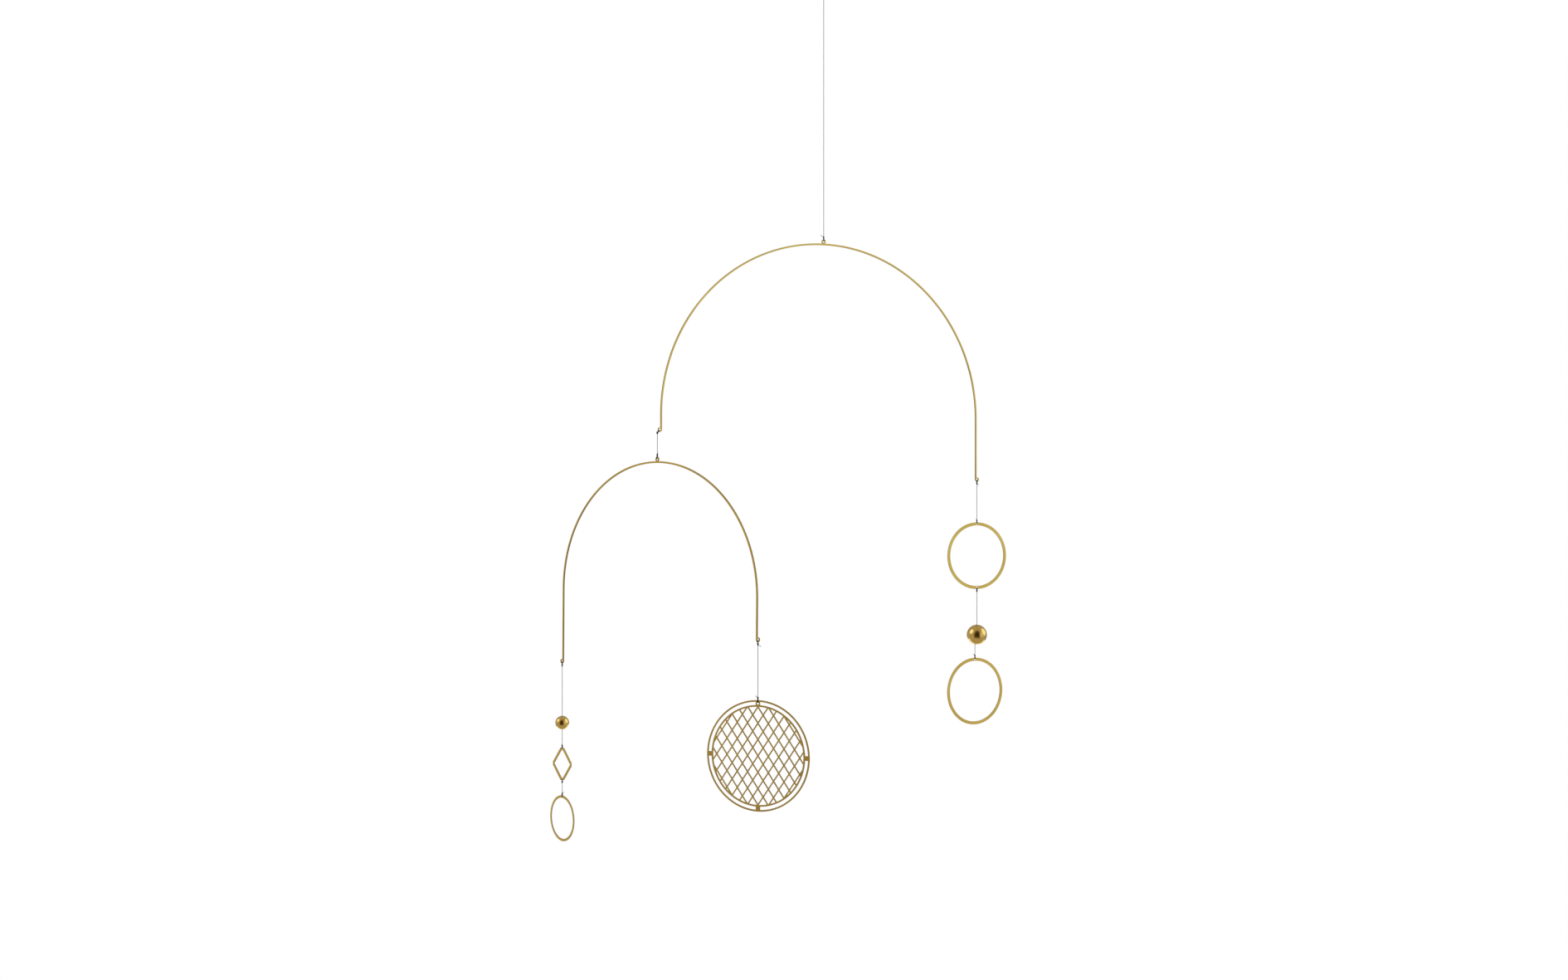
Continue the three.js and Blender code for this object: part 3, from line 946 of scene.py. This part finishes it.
def show(name: str, mesh: bpy.types.Mesh, place: Matrix) -> bpy.types.Object:
    """Put a mesh in the scene with its place in its own points.

    Args:
        name: The piece's name.
        mesh: Its mesh, drawn round its own origin.
        place: Where it goes, in metres.

    Returns:
        The piece's object, at the origin.
    """
    mesh.transform(place)
    piece = bpy.data.objects.new(name, mesh)
    bpy.context.scene.collection.objects.link(piece)
    return piece


def finish_piece(piece: bpy.types.Object, body: str, nodes: Sequence[str]) -> None:
    """Let a piece ride on its body, and hide the model's nodes that it stands for.

    Args:
        piece: The finished piece.
        body: The body that it moves with.
        nodes: The model's nodes that it replaces.
    """
    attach(piece, body)
    if nodes:
        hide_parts(*nodes)
    LOG.info("%s on %s: %d faces", piece.name, body, len(piece.data.polygons))


class Side(Enum):
    """On which side of its hole a knot sits."""

    BELOW = 0.0
    ABOVE = 180.0
    OUTWARDS = LINK_LEAN


@dataclass(frozen=True)
class Hold:
    """The metal that a thread is tied to: its hole and what is left of metal beside it."""

    hole: float
    rim: float
    sheet: float


EYELET = Hold(EYELET_HOLE, EYELET_RADIUS, ARCH_SHEET)
LARGE_RING_EDGE = Hold(LARGE_RING.hole, LARGE_RING.band / 2, SHEET)
SMALL_RING_EDGE = Hold(SMALL_RING.hole, SMALL_RING.band / 2, SHEET)
DIAMOND_EDGE = Hold(FINE_HOLE, DIAMOND.top - DIAMOND.hole, SHEET)
LATTICE_EDGE = Hold(EYELET_HOLE, LATTICE.outer / 2 - LATTICE.hole, SHEET)


@dataclass(frozen=True)
class Tie:
    """A thread made fast in a hole: twice round the rim, then whipped round itself and cut off."""

    place: Vector
    hold: Hold
    side: Side
    turn: float = 0.0
    wraps: float = 3.3
    tail: float = 2.2
    tail_turn: float = 40.0

    @property
    def knot(self) -> float:
        """Return how far the knot's middle is from the hole's middle."""
        return self.hold.rim + GAP + KNOT_LENGTH / 2

    def axes(self) -> tuple[Vector, Vector, Vector]:
        """Return the directions across the hole, through it, and towards the knot."""
        rotation = turned(self.turn) @ Matrix.Rotation(math.radians(self.side.value), 4, "Y")
        return tuple(rotation.to_3x3() @ Vector(v) for v in ((1, 0, 0), (0, 1, 0), (0, 0, -1)))

    def set_out(self, local: Sequence[tuple[float, float, float]]) -> list[Vector]:
        """Return the places of points given as distances across, through and towards the knot."""
        across, through, along = self.axes()
        return [self.place + across * s + through * n + along * t for s, n, t in local]

    def rim_loop(self) -> list[tuple[float, float, float]]:
        """Return the two turns round the rim, as distances across, through and towards the knot."""
        rest = THREAD / 2 + 0.03
        beside = self.hold.sheet / 2 + rest
        inside = max(self.hold.hole / 2 - rest, 0.0)
        apart = min(THREAD * 0.54, self.hold.hole / 2 - rest)
        edge = self.hold.rim - 0.1
        points = []
        for across in (-apart, apart):
            points += [
                (across, beside, edge),
                (across, beside * 0.8, inside + 0.2),
                (across, 0, inside),
                (across, -beside * 0.8, inside + 0.2),
                (across, -beside, edge),
            ]
            if across < 0:
                points.append((0, 0, self.hold.rim + rest))
        return points

    def path(self) -> list[Vector]:
        """Return the thread's way from inside the knot, round the rim and back round itself."""
        start = self.hold.rim + GAP + 0.15
        whip = THREAD * 0.98
        pitch = THREAD * 1.06
        local = [(0, 0, self.knot), (0, 0.08, start + 0.4), (-0.05, 0.2, start)]
        local += [*self.rim_loop(), (0.1, -0.26, start)]
        for i in range(round(self.wraps * 8) + 1):
            angle = -math.pi / 2 + 2 * math.pi * i / 8
            height = start + 0.3 + pitch * i / 8
            local.append((whip * math.cos(angle), whip * math.sin(angle), height))
        leave = math.radians(self.tail_turn)
        s, n, t = local[-1]
        for share, spread_out in ((0.35, 0.5), (0.7, 0.8), (1.0, 1.0)):
            out = self.tail * spread_out
            up = self.tail * share * 0.5
            local.append((s + out * math.cos(leave), n + out * math.sin(leave), t + up))
        return self.set_out(local)


@dataclass(frozen=True)
class StopperKnot:
    """A small round knot tied in a thread, where it can't be pulled through a bore or a loop."""

    place: Vector
    length: float = STOPPER_LENGTH
    radius: float = 0.62
    turn: float = 0.0
    tail: float = 0.0

    def path(self) -> list[Vector]:
        """Return the thread's way round itself."""
        turns = max(2.2, self.length / (THREAD * 1.05))
        steps = round(turns * 9)
        points = []
        for i in range(steps + 1):
            share = i / steps
            angle = math.radians(self.turn) + 2 * math.pi * turns * share
            swell = self.radius * (0.72 + 0.28 * math.sin(math.pi * share)) - THREAD * 0.12
            height = self.length * (0.5 - share) * 0.8
            way = spot(swell * math.cos(angle), swell * math.sin(angle), height)
            points.append(self.place + way)
        if self.tail:
            outwards = (points[-1] - self.place).normalized()
            points += [points[-1] + outwards * self.tail * k for k in (0.5, 1.0)]
        return points


def taut(route: Sequence[Vector], step: float = 0.8) -> list[Vector]:
    """Return a straight-legged route with a point every step, so that its legs stay straight."""
    points = [route[0]]
    for start, end in zip(route, route[1:]):
        count = max(2, round((end - start).length / step))
        points += [start.lerp(end, i / count) for i in range(1, count + 1)]
    return points


@dataclass
class ThreadMaker:
    """Makes threads and their knots with one tree and one finish."""

    tree: ShapeTree
    material: bpy.types.Material
    lay: float = 1.5

    def gather(self, name: str, paths: Sequence[Sequence[Vector]]) -> bpy.types.Object:
        """Return one piece made of several lengths of plied thread.

        Args:
            name: The piece's name.
            paths: Each length's points, in millimetres.

        Returns:
            The piece.
        """
        values = {"Diameter": THREAD * MM, "Lay": self.lay * MM}
        parts = []
        for i, path in enumerate(paths):
            mesh = self.tree.make(name, values, self.material, path)
            mesh.shade_smooth()
            parts.append(show(f"{name}_{i}", mesh, Matrix.Identity(4)))
        if len(parts) > 1:
            with bpy.context.temp_override(
                active_object=parts[0], selected_editable_objects=parts
            ):
                bpy.ops.object.join()
        parts[0].name = name
        return parts[0]


@dataclass
class HungThread:
    """A taut thread between two ties, or from a knot, with what is knotted in it."""

    name: str
    body: str
    route: list[Vector]
    ties: list[Tie] = field(default_factory=list)
    knots: list[StopperKnot] = field(default_factory=list)
    beads: list[bpy.types.Object] = field(default_factory=list)
    exit: Vector | None = None

    @classmethod
    def between(
        cls,
        name: str,
        body: str,
        ties: list[Tie],
        bends: Sequence[Vector] = (),
        cord: bool = True,
        **more: Any,
    ) -> "HungThread":
        """Return a thread that hangs from one tie to another.

        Args:
            name: The model's node that it stands for.
            body: The body that it moves with.
            ties: The upper tie and the lower one.
            bends: Where its run bends on the way.
            cord: Whether the start of its run is kept as its exit.
            more: The knots and the beads on it.

        Returns:
            The thread.
        """
        upper, lower = ties
        start = below(upper.place, upper.knot)
        route = [start, *bends, below(lower.place, -lower.knot)]
        return cls(name, body, route, ties, exit=start if cord else None, **more)

    def build(self, maker: ThreadMaker) -> None:
        """Args:
            maker: What makes the plied thread.
        """
        run = maker.gather(f"{self.name}_run", [taut(self.route)])
        finish_piece(run, self.body, [self.name])
        paths = [knot.path() for knot in (*self.ties, *self.knots)]
        knots = maker.gather(f"{self.name}_knots", paths)
        finish_piece(knots, self.body, [])


@dataclass
class Brasswork:
    """Everything that is brass: the arches, rings, diamond, lattice and balls."""

    satin: bpy.types.Material
    polished: bpy.types.Material
    rings: ShapeTree = field(default_factory=ring_tree)
    arches: ShapeTree = field(default_factory=arch_tree)
    lattices: ShapeTree = field(default_factory=lattice_tree)
    diamonds: ShapeTree = field(default_factory=diamond_tree)
    balls: ShapeTree = field(default_factory=ball_tree)

    def sheet(
        self,
        tree: ShapeTree,
        node: str,
        body: str,
        place: Matrix,
        lengths: dict[str, Any],
        counts: dict[str, int] | None = None,
        path: Sequence[Vector] = (),
        crease: float = SHEET_CREASE,
        tumbled: bool = False,
    ) -> None:
        """Make a piece of sheet, its flat faces staying flat and its edges softly rounded where its
        shape or a bevel rounds them.

        Args:
            tree: The tree of its shape.
            node: The model's node that it stands for.
            body: The body that it rides on.
            place: Where it goes.
            lengths: Its lengths and places by name, in millimetres.
            counts: Its counts by name.
            path: The path that it follows, in millimetres.
            crease: Degrees past which an edge stays crisp.
            tumbled: Whether its edges are still to be rounded.
        """
        values = {name: length * MM for name, length in lengths.items()} | (counts or {})
        piece = show(f"{node}_sheet", tree.make(node, values, self.satin, path), place)
        if tumbled:
            bevel = piece.modifiers.new("tumbled edges", "BEVEL")
            bevel.width = SOFT_EDGE * MM
            bevel.segments = BEVEL_STEPS
            bevel.angle_limit = math.radians(FINE_CREASE)
        piece.data.shade_smooth()
        piece.data.set_sharp_from_angle(angle=math.radians(crease))
        piece.modifiers.new("flat faces lead", "WEIGHTED_NORMAL").keep_sharp = True
        finish_piece(piece, body, [node])

    def arch(self, node: str, body: str, sizes: ArchSizes, place: Matrix) -> None:
        """Make an arch.

        Args:
            node: The model's node that it stands for.
            body: The body that it rides on.
            sizes: Its sizes.
            place: Where its top eyelet goes.
        """
        lengths = {
            "Band": ARCH_BAND,
            "Sheet": ARCH_SHEET,
            "Edge": SOFT_EDGE,
            "Hole radius": EYELET_HOLE / 2,
            "Eyelet radius": EYELET_RADIUS,
            "Top": Vector(),
            "Left foot": sizes.foot(-1),
            "Right foot": sizes.foot(1),
        }
        self.sheet(self.arches, node, body, place, lengths, path=sizes.path(ARCH_STEPS))

    def ring(self, node: str, body: str, sizes: RingSizes, holes: int, place: Matrix) -> None:
        """Make a flat ring.

        Args:
            node: The model's node that it stands for.
            body: The body that it rides on.
            sizes: Its sizes.
            holes: One hole at the top, or two, at the top and the bottom.
            place: Where its middle goes.
        """
        lengths = {
            "Middle radius": sizes.middle,
            "Band": sizes.band,
            "Sheet": SHEET,
            "Edge": SOFT_EDGE,
            "Hole radius": sizes.hole / 2,
        }
        self.sheet(self.rings, node, body, place, lengths, {"Holes": holes})

    def lattice(self, node: str, body: str, place: Matrix) -> None:
        """Make the lattice disc at a place."""
        half_width = LATTICE.cell_width / 2
        half_height = LATTICE.cell_height / 2
        side = math.hypot(half_width, half_height)
        shrink = 1 - LATTICE.bar * side / (2 * half_width * half_height)
        lengths = {
            "Outer radius": LATTICE.outer / 2,
            "Gap outer": LATTICE.outer / 2 - LATTICE.rim,
            "Gap inner": LATTICE.inner,
            "Field radius": LATTICE.inner - LATTICE.rim,
            "Bridge": LATTICE.bridge,
            "Sheet": SHEET,
            "Hole radius": EYELET_HOLE / 2,
            "Hole height": LATTICE.hole,
            "Least window": 0.75 * LATTICE.bar,
            "Cell width": LATTICE.cell_width,
            "Cell height": LATTICE.cell_height,
            "Window width": LATTICE.cell_width * shrink,
            "Window height": LATTICE.cell_height * shrink,
        }
        counts = {
            name: 2 * math.ceil(LATTICE.inner / cell) + 3
            for name, cell in (("Columns", LATTICE.cell_width), ("Rows", LATTICE.cell_height))
        }
        self.sheet(self.lattices, node, body, place, lengths, counts, crease=FINE_CREASE)

    def diamond(self, node: str, body: str, place: Matrix) -> None:
        """Make the flat open diamond at a place."""
        slant = math.hypot(DIAMOND.width, DIAMOND.height)
        lengths = {
            "Width": DIAMOND.width,
            "Height": DIAMOND.height,
            "Window width": DIAMOND.width - 2 * DIAMOND.band * slant / DIAMOND.height,
            "Window height": DIAMOND.height - 2 * DIAMOND.band * slant / DIAMOND.width,
            "Blunt width": 2 * DIAMOND.side,
            "Blunt height": 2 * DIAMOND.top,
            "Sheet": SHEET,
            "Hole radius": FINE_HOLE / 2,
            "Boss radius": FINE_HOLE / 2 + DIAMOND.hole_edge,
            "Hole height": DIAMOND.hole,
        }
        self.sheet(self.diamonds, node, body, place, lengths, tumbled=True)

    def ball(
        self, node: str, body: str, diameter: float, shift: float, place: Matrix
    ) -> bpy.types.Object:
        """Make a drilled ball.

        Args:
            node: The model's node that it stands for.
            body: The body that it rides on.
            diameter: Its diameter in millimetres.
            shift: How far beside the bottom its bore comes out.
            place: Where its middle goes.

        Returns:
            The ball.
        """
        values = {
            "Radius": diameter / 2 * MM,
            "Bore radius": DRILLED_HOLE / 2 * MM,
            "Recess radius": RECESS_WIDTH / 2 * MM,
            "Recess depth": RECESS_DEPTH * MM,
            "Lean": math.atan2(shift, diameter),
            "Shift": shift * MM,
        }
        piece = show(f"{node}_polished", self.balls.make(node, values, self.polished), place)
        piece.data.shade_smooth()
        piece.data.set_sharp_from_angle(angle=math.radians(FINE_CREASE))
        finish_piece(piece, body, [node])
        return piece


# Studio


@dataclass(frozen=True)
class Studio:
    """Camera, white paper floor and the white and grey room of a product photograph."""

    sensor: float = 36.0
    lens: float = 46.67
    clip: tuple[float, float] = (0.05, 60.0)
    camera: tuple[float, float, float] = (-726.3, -1614.7, -441.15)
    heading: float = -23.1
    floor_drop: float = 1450.0
    paper_width: float = 2720.0
    paper_reach: tuple[float, float] = (600.0, 6000.0)
    # How bright the room is round the horizon: degrees from the camera to its right, brightness
    panorama: tuple[tuple[float, float], ...] = (
        *((-180, 0.30), (-150, 0.34), (-112, 0.56), (-84, 0.38), (-71, 0.56), (-46, 0.43)),
        *((-28, 0.38), (16, 0.40), (32, 0.95), (50, 0.65), (66, 0.56), (110, 0.45)),
        *((150, 0.34), (180, 0.30)),
    )
    tent: float = 0.47
    tent_edge: tuple[float, float] = (0.22, 0.50)
    # Where the soft boxes stand: degrees from the camera, height in degrees, reach and brightness
    boxes: tuple[tuple[float, float, float, float], ...] = (
        (-84, 30, 27, 1.3),
        (96, 22, 36, 1.2),
    )
    box_middle: float = 0.35
    figure: float = 0.05
    figure_width: float = 0.58
    figure_taper: float = -0.22
    lamp: str = "ffffff"
    dusk: str = "e6c08c"  # what the darker parts of the room reflect
    dusk_range: tuple[float, float] = (0.12, 0.75)

    def add_camera(self) -> None:
        """Put the camera where the photograph was taken, level."""
        data = bpy.data.cameras.new("photo_camera")
        data.sensor_fit = "HORIZONTAL"
        data.sensor_width = self.sensor
        data.lens = self.lens
        data.clip_start, data.clip_end = self.clip
        camera = bpy.data.objects.new("photo_camera", data)
        camera.location = Vector(self.camera) * MM
        camera.rotation_euler = (math.pi / 2, 0, math.radians(self.heading))
        bpy.context.scene.collection.objects.link(camera)
        bpy.context.scene.camera = camera

    def add_floor(self) -> None:
        """Lay the white paper floor well below the mobile, from a step behind it to far away."""
        mesh = bpy.data.meshes.new("paper_floor")
        half = self.paper_width / 2
        near, far = self.paper_reach
        corners = [(-half, near), (half, near), (half, far), (-half, far)]
        points = [Vector((x, y, -self.floor_drop)) * MM for x, y in corners]
        turn = turned(self.heading)
        mesh.from_pydata([turn @ point for point in points], [], [(0, 1, 2, 3)])
        mesh.materials.append(StudioPaper().build())
        floor = bpy.data.objects.new("paper_floor", mesh)
        bpy.context.scene.collection.objects.link(floor)

    def add_room(self) -> None:
        """Light the scene by a white tent with a grey room beyond its open front and sides."""
        world = bpy.data.worlds.new("white_tent")
        world.use_nodes = True
        tree = world.node_tree
        tree.nodes.clear()
        direction = add_node(tree, "ShaderNodeTexCoord").outputs["Generated"]

        def towards(axis: Vector) -> Any:
            """Return how far a direction lies along an axis."""
            ends = {0: direction, 1: axis}
            product = {"operation": "DOT_PRODUCT"}
            return add_node(tree, "ShaderNodeVectorMath", product, ends).outputs["Value"]

        def rise(value: Any, low: float, high: float) -> Any:
            """Return a smooth step of a value from 0 at low to 1 at high."""
            return spread(tree, value, (low, high), how="SMOOTHSTEP").outputs["Result"]

        def blend(factor: Any, under: Any, over: Any) -> Any:
            """Return one brightness laid over another by a factor."""
            return add_node(tree, "ShaderNodeMix", inputs={"Factor": factor, 2: under, 3: over})

        turn = turned(self.heading).to_3x3()
        right = towards(turn @ Vector((1, 0, 0)))
        back = towards(turn @ Vector((0, -1, 0)))
        height = towards(Vector((0, 0, 1)))
        bearing = sum_of(tree, "ARCTAN2", right, back)
        round_share = sum_of(tree, "MULTIPLY_ADD", bearing, 0.5 / math.pi, 0.5)
        ramp = add_node(tree, "ShaderNodeValToRGB", inputs={"Fac": round_share})
        stops = ramp.color_ramp.elements
        for element, (angle, level) in zip(stops, (self.panorama[0], self.panorama[-1])):
            element.position = angle / 360 + 0.5
            element.color = (level, level, level, 1)
        for angle, level in self.panorama[1:-1]:
            stops.new(angle / 360 + 0.5).color = (level, level, level, 1)
        grey = add_node(tree, "ShaderNodeSeparateColor", inputs={0: ramp.outputs["Color"]})
        room = blend(rise(sum_of(tree, "ABSOLUTE", height), *self.tent_edge), grey, self.tent)
        for angle, rising, reach, level in self.boxes:
            upwards = math.radians(rising)
            aim = Matrix.Rotation(math.radians(angle), 3, "Z") @ Vector((0, -1, 0))
            aim = turn @ (aim * math.cos(upwards) + Vector((0, 0, math.sin(upwards))))
            inner, outer = (math.cos(math.radians(reach * k)) for k in (self.box_middle, 1.0))
            room = blend(rise(towards(aim), outer, inner), room, level)
        # Whoever stands by the camera is a dark shape in the polished balls, narrower at the top
        sideways = sum_of(tree, "ABSOLUTE", right)
        aside = sum_of(tree, "DIVIDE", sideways, sum_of(tree, "MAXIMUM", back, 0.05))
        width = sum_of(tree, "MULTIPLY_ADD", height, self.figure_taper, self.figure_width)
        figure = rise(sum_of(tree, "SUBTRACT", width, aside), -0.45, 0.30)
        for value, low, high in (
            (back, 0.10, 0.50),
            (sum_of(tree, "MULTIPLY", height, -1.0), -1.0, -0.45),
            (height, -0.85, -0.20),
        ):
            figure = sum_of(tree, "MULTIPLY", figure, rise(value, low, high))
        room = blend(figure, room, self.figure)
        # The room's walls are warm where no lamp reaches them
        dusk = rise(room, *self.dusk_range)
        colour = toned(tree, dusk, linear(self.dusk), linear(self.lamp))
        lit = add_node(tree, "ShaderNodeBackground", inputs={"Strength": room, "Color": colour})
        seen = add_node(tree, "ShaderNodeBackground", inputs={"Color": (1, 1, 1, 1)})
        ray = add_node(tree, "ShaderNodeLightPath").outputs["Is Camera Ray"]
        mix = add_node(tree, "ShaderNodeMixShader", inputs={0: ray, 1: lit, 2: seen})
        add_node(tree, "ShaderNodeOutputWorld", inputs={"Surface": mix})
        bpy.context.scene.world = world

    def build(self) -> None:
        """Set up the whole studio."""
        self.add_camera()
        self.add_floor()
        self.add_room()
        settings = bpy.context.scene.view_settings
        settings.view_transform = "Standard"
        settings.look = "None"


@dataclass
class Mobile:
    """The whole mobile, hung from the top down."""

    brass: Brasswork
    maker: ThreadMaker
    # Half of the hanging loop: how far out, and how far down as a share of its height
    loop_half: tuple[tuple[float, float], ...] = (
        (0.3, 1.16),
        (0.7 * LOOP_WIDTH / 2, 0.66),
        (LOOP_WIDTH / 2, 0.33),
        (0.7 * LOOP_WIDTH / 2, 0.05),
    )
    link_sunk: float = 0.5
    link_apart: float = 0.12
    link_start: float = 0.6

    def hang_top(self) -> None:
        """Make the loop on the hook, the ceiling thread and the wide arch."""
        left = [spot(-x, 0, -LOOP_HEIGHT * share) for x, share in self.loop_half]
        right = [spot(x, 0, -LOOP_HEIGHT * share) for x, share in reversed(self.loop_half)]
        path = [*left, spot(0, 0, THREAD / 2), *right]
        loop = self.maker.gather("hanging_loop_thread", [path])
        finish_piece(loop, "hanging_loop", ["hanging_loop"])
        tie = Tie(LAYOUT.upper_eyelet, EYELET, Side.ABOVE, tail_turn=15)
        end = below(LAYOUT.upper_eyelet, -tie.knot)
        depth = LOOP_HEIGHT + GAP + KNOT_LENGTH / 2
        HungThread(
            "ceiling_thread",
            UPPER,
            [spot(0, 0, -LOOP_HEIGHT - GAP), end],
            [tie],
            [StopperKnot(spot(0, 0, -depth), length=KNOT_LENGTH, tail=1.6)],
            exit=end,
        ).build(self.maker)
        self.brass.arch("upper_arch", UPPER, UPPER_ARCH, standing(LAYOUT.upper_eyelet))

    def hang_rings(self) -> None:
        """Make the string of two rings and a ball on the wide arch's long leg."""
        top = LAYOUT.ring_eyelet
        hole = below(top, RING_DROP)
        edge, turn = LARGE_RING_EDGE, UPPER_RING_TURN
        ties = [
            Tie(top, EYELET, Side.BELOW, tail=1.3, tail_turn=-25),
            Tie(hole, edge, Side.ABOVE, turn, wraps=2.6, tail=1.7, tail_turn=-30),
        ]
        HungThread.between("ring_thread", UPPER, ties).build(self.maker)
        place = standing(below(hole, LARGE_RING.middle), turned(turn))
        self.brass.ring("upper_ring", UPPER, LARGE_RING, 2, place)
        foot = below(hole, 2 * LARGE_RING.middle)
        middle = below(foot, LARGE_BALL_DROP)
        last = below(middle, LOWER_RING_DROP, -BORE_SHIFT)
        ball = self.brass.ball("large_ball", UPPER, LARGE_BALL, BORE_SHIFT, standing(middle))
        bore = [below(middle, -LARGE_BALL / 2), below(middle, LARGE_BALL / 2, -BORE_SHIFT)]
        ties = [
            Tie(foot, edge, Side.BELOW, turn, wraps=2.8, tail=0.9, tail_turn=-30),
            Tie(last, edge, Side.ABOVE, LOWER_RING_TURN, wraps=3.0, tail=2.0, tail_turn=35),
        ]
        knot = StopperKnot(in_bore(middle, LARGE_BALL, BORE_SHIFT), radius=BALL_KNOT)
        HungThread.between(
            "large_ball_thread", UPPER, ties, bore, knots=[knot], beads=[ball]
        ).build(self.maker)
        place = standing(below(last, LARGE_RING.middle), turned(LOWER_RING_TURN))
        self.brass.ring("lower_ring", UPPER, LARGE_RING, 1, place)

    def hang_small_arch(self) -> None:
        """Make the link on the wide arch's short leg and the small arch below it."""
        link = Tie(LAYOUT.link_eyelet, EYELET, Side.OUTWARDS)
        ends = [(0, side * self.link_apart, link.knot + self.link_sunk) for side in (1, -1)]
        path = link.set_out([ends[0], *link.rim_loop(), ends[1]])
        loop = self.maker.gather("link_loop_thread", [path])
        finish_piece(loop, UPPER, ["link_loop"])
        tie = Tie(LAYOUT.lower_eyelet, EYELET, Side.ABOVE, LOWER_ARCH_TURN, tail_turn=75)
        route = [below(LAYOUT.link_knot, -self.link_start), below(LAYOUT.lower_eyelet, -tie.knot)]
        knot = StopperKnot(LAYOUT.link_knot, length=KNOT_LENGTH * 0.9, turn=90, tail=1.4)
        HungThread("link_thread", LOWER, route, [tie], [knot]).build(self.maker)
        place = standing(LAYOUT.lower_eyelet, turned(LOWER_ARCH_TURN) @ LOWER_ARCH.lean())
        self.brass.arch("lower_arch", LOWER, LOWER_ARCH, place)

    def hang_diamond(self) -> None:
        """Make the string of the small ball, the diamond and the small ring."""
        top = LAYOUT.lower_foot(-1)
        middle = below(top, SMALL_BALL_DROP)
        hole = below(middle, DIAMOND_DROP)
        arm, turn = LOWER_ARCH_TURN, LOWER_ARCH_TURN + DIAMOND_TURN
        ball = self.brass.ball("small_ball", LOWER, SMALL_BALL, 0.0, standing(middle, turned(arm)))
        ties = [
            Tie(top, EYELET, Side.BELOW, arm, tail_turn=150),
            Tie(hole, DIAMOND_EDGE, Side.ABOVE, turn, wraps=2.5, tail=1.5, tail_turn=10),
        ]
        knot = StopperKnot(in_bore(middle, SMALL_BALL, 0.0), radius=BALL_KNOT)
        HungThread.between(
            "small_ball_thread", LOWER, ties, knots=[knot], beads=[ball]
        ).build(self.maker)
        place = standing(below(hole, DIAMOND.hole), turned(turn))
        self.brass.diamond("diamond", LOWER, place)
        foot = below(hole, 2 * DIAMOND.hole)
        last = below(foot, SMALL_RING_DROP)
        ring_turn = LOWER_ARCH_TURN + SMALL_RING_TURN
        ties = [
            Tie(foot, DIAMOND_EDGE, Side.BELOW, turn, wraps=2.4, tail=1.4, tail_turn=190),
            Tie(last, SMALL_RING_EDGE, Side.ABOVE, ring_turn, wraps=2.6, tail=1.6, tail_turn=60),
        ]
        HungThread.between("small_ring_thread", LOWER, ties, cord=False).build(self.maker)
        place = standing(below(last, SMALL_RING.middle), turned(ring_turn))
        self.brass.ring("small_ring", LOWER, SMALL_RING, 1, place)

    def hang_lattice(self) -> None:
        """Make the lattice disc on the small arch's other leg."""
        top = LAYOUT.lower_foot(1)
        hole = below(top, LATTICE_DROP)
        turn = LOWER_ARCH_TURN + LATTICE_TURN
        ties = [
            Tie(top, EYELET, Side.BELOW, LOWER_ARCH_TURN, tail_turn=20),
            Tie(hole, LATTICE_EDGE, Side.ABOVE, turn, tail=1.8, tail_turn=5),
        ]
        HungThread.between("lattice_thread", LOWER, ties).build(self.maker)
        self.brass.lattice("lattice_disc", LOWER, standing(below(hole, LATTICE.hole), turned(turn)))

    def build(self) -> None:
        """Hang every string."""
        self.hang_top()
        self.hang_rings()
        self.hang_small_arch()
        self.hang_diamond()
        self.hang_lattice()


def main() -> None:
    """Set up the studio and build the mobile in it."""
    logging.basicConfig(level=logging.INFO, format="%(message)s")
    Studio().build()
    brass = Brasswork(SatinBrass().build(), PolishedBrass().build())
    Mobile(brass, ThreadMaker(thread_tree(), TwistedThread().build())).build()
    left = [name for name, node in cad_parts.items() if not node.hide_render]
    LOG.info("construction nodes still shown: %s", left or "none")


if __name__ == "__main__":
    main()
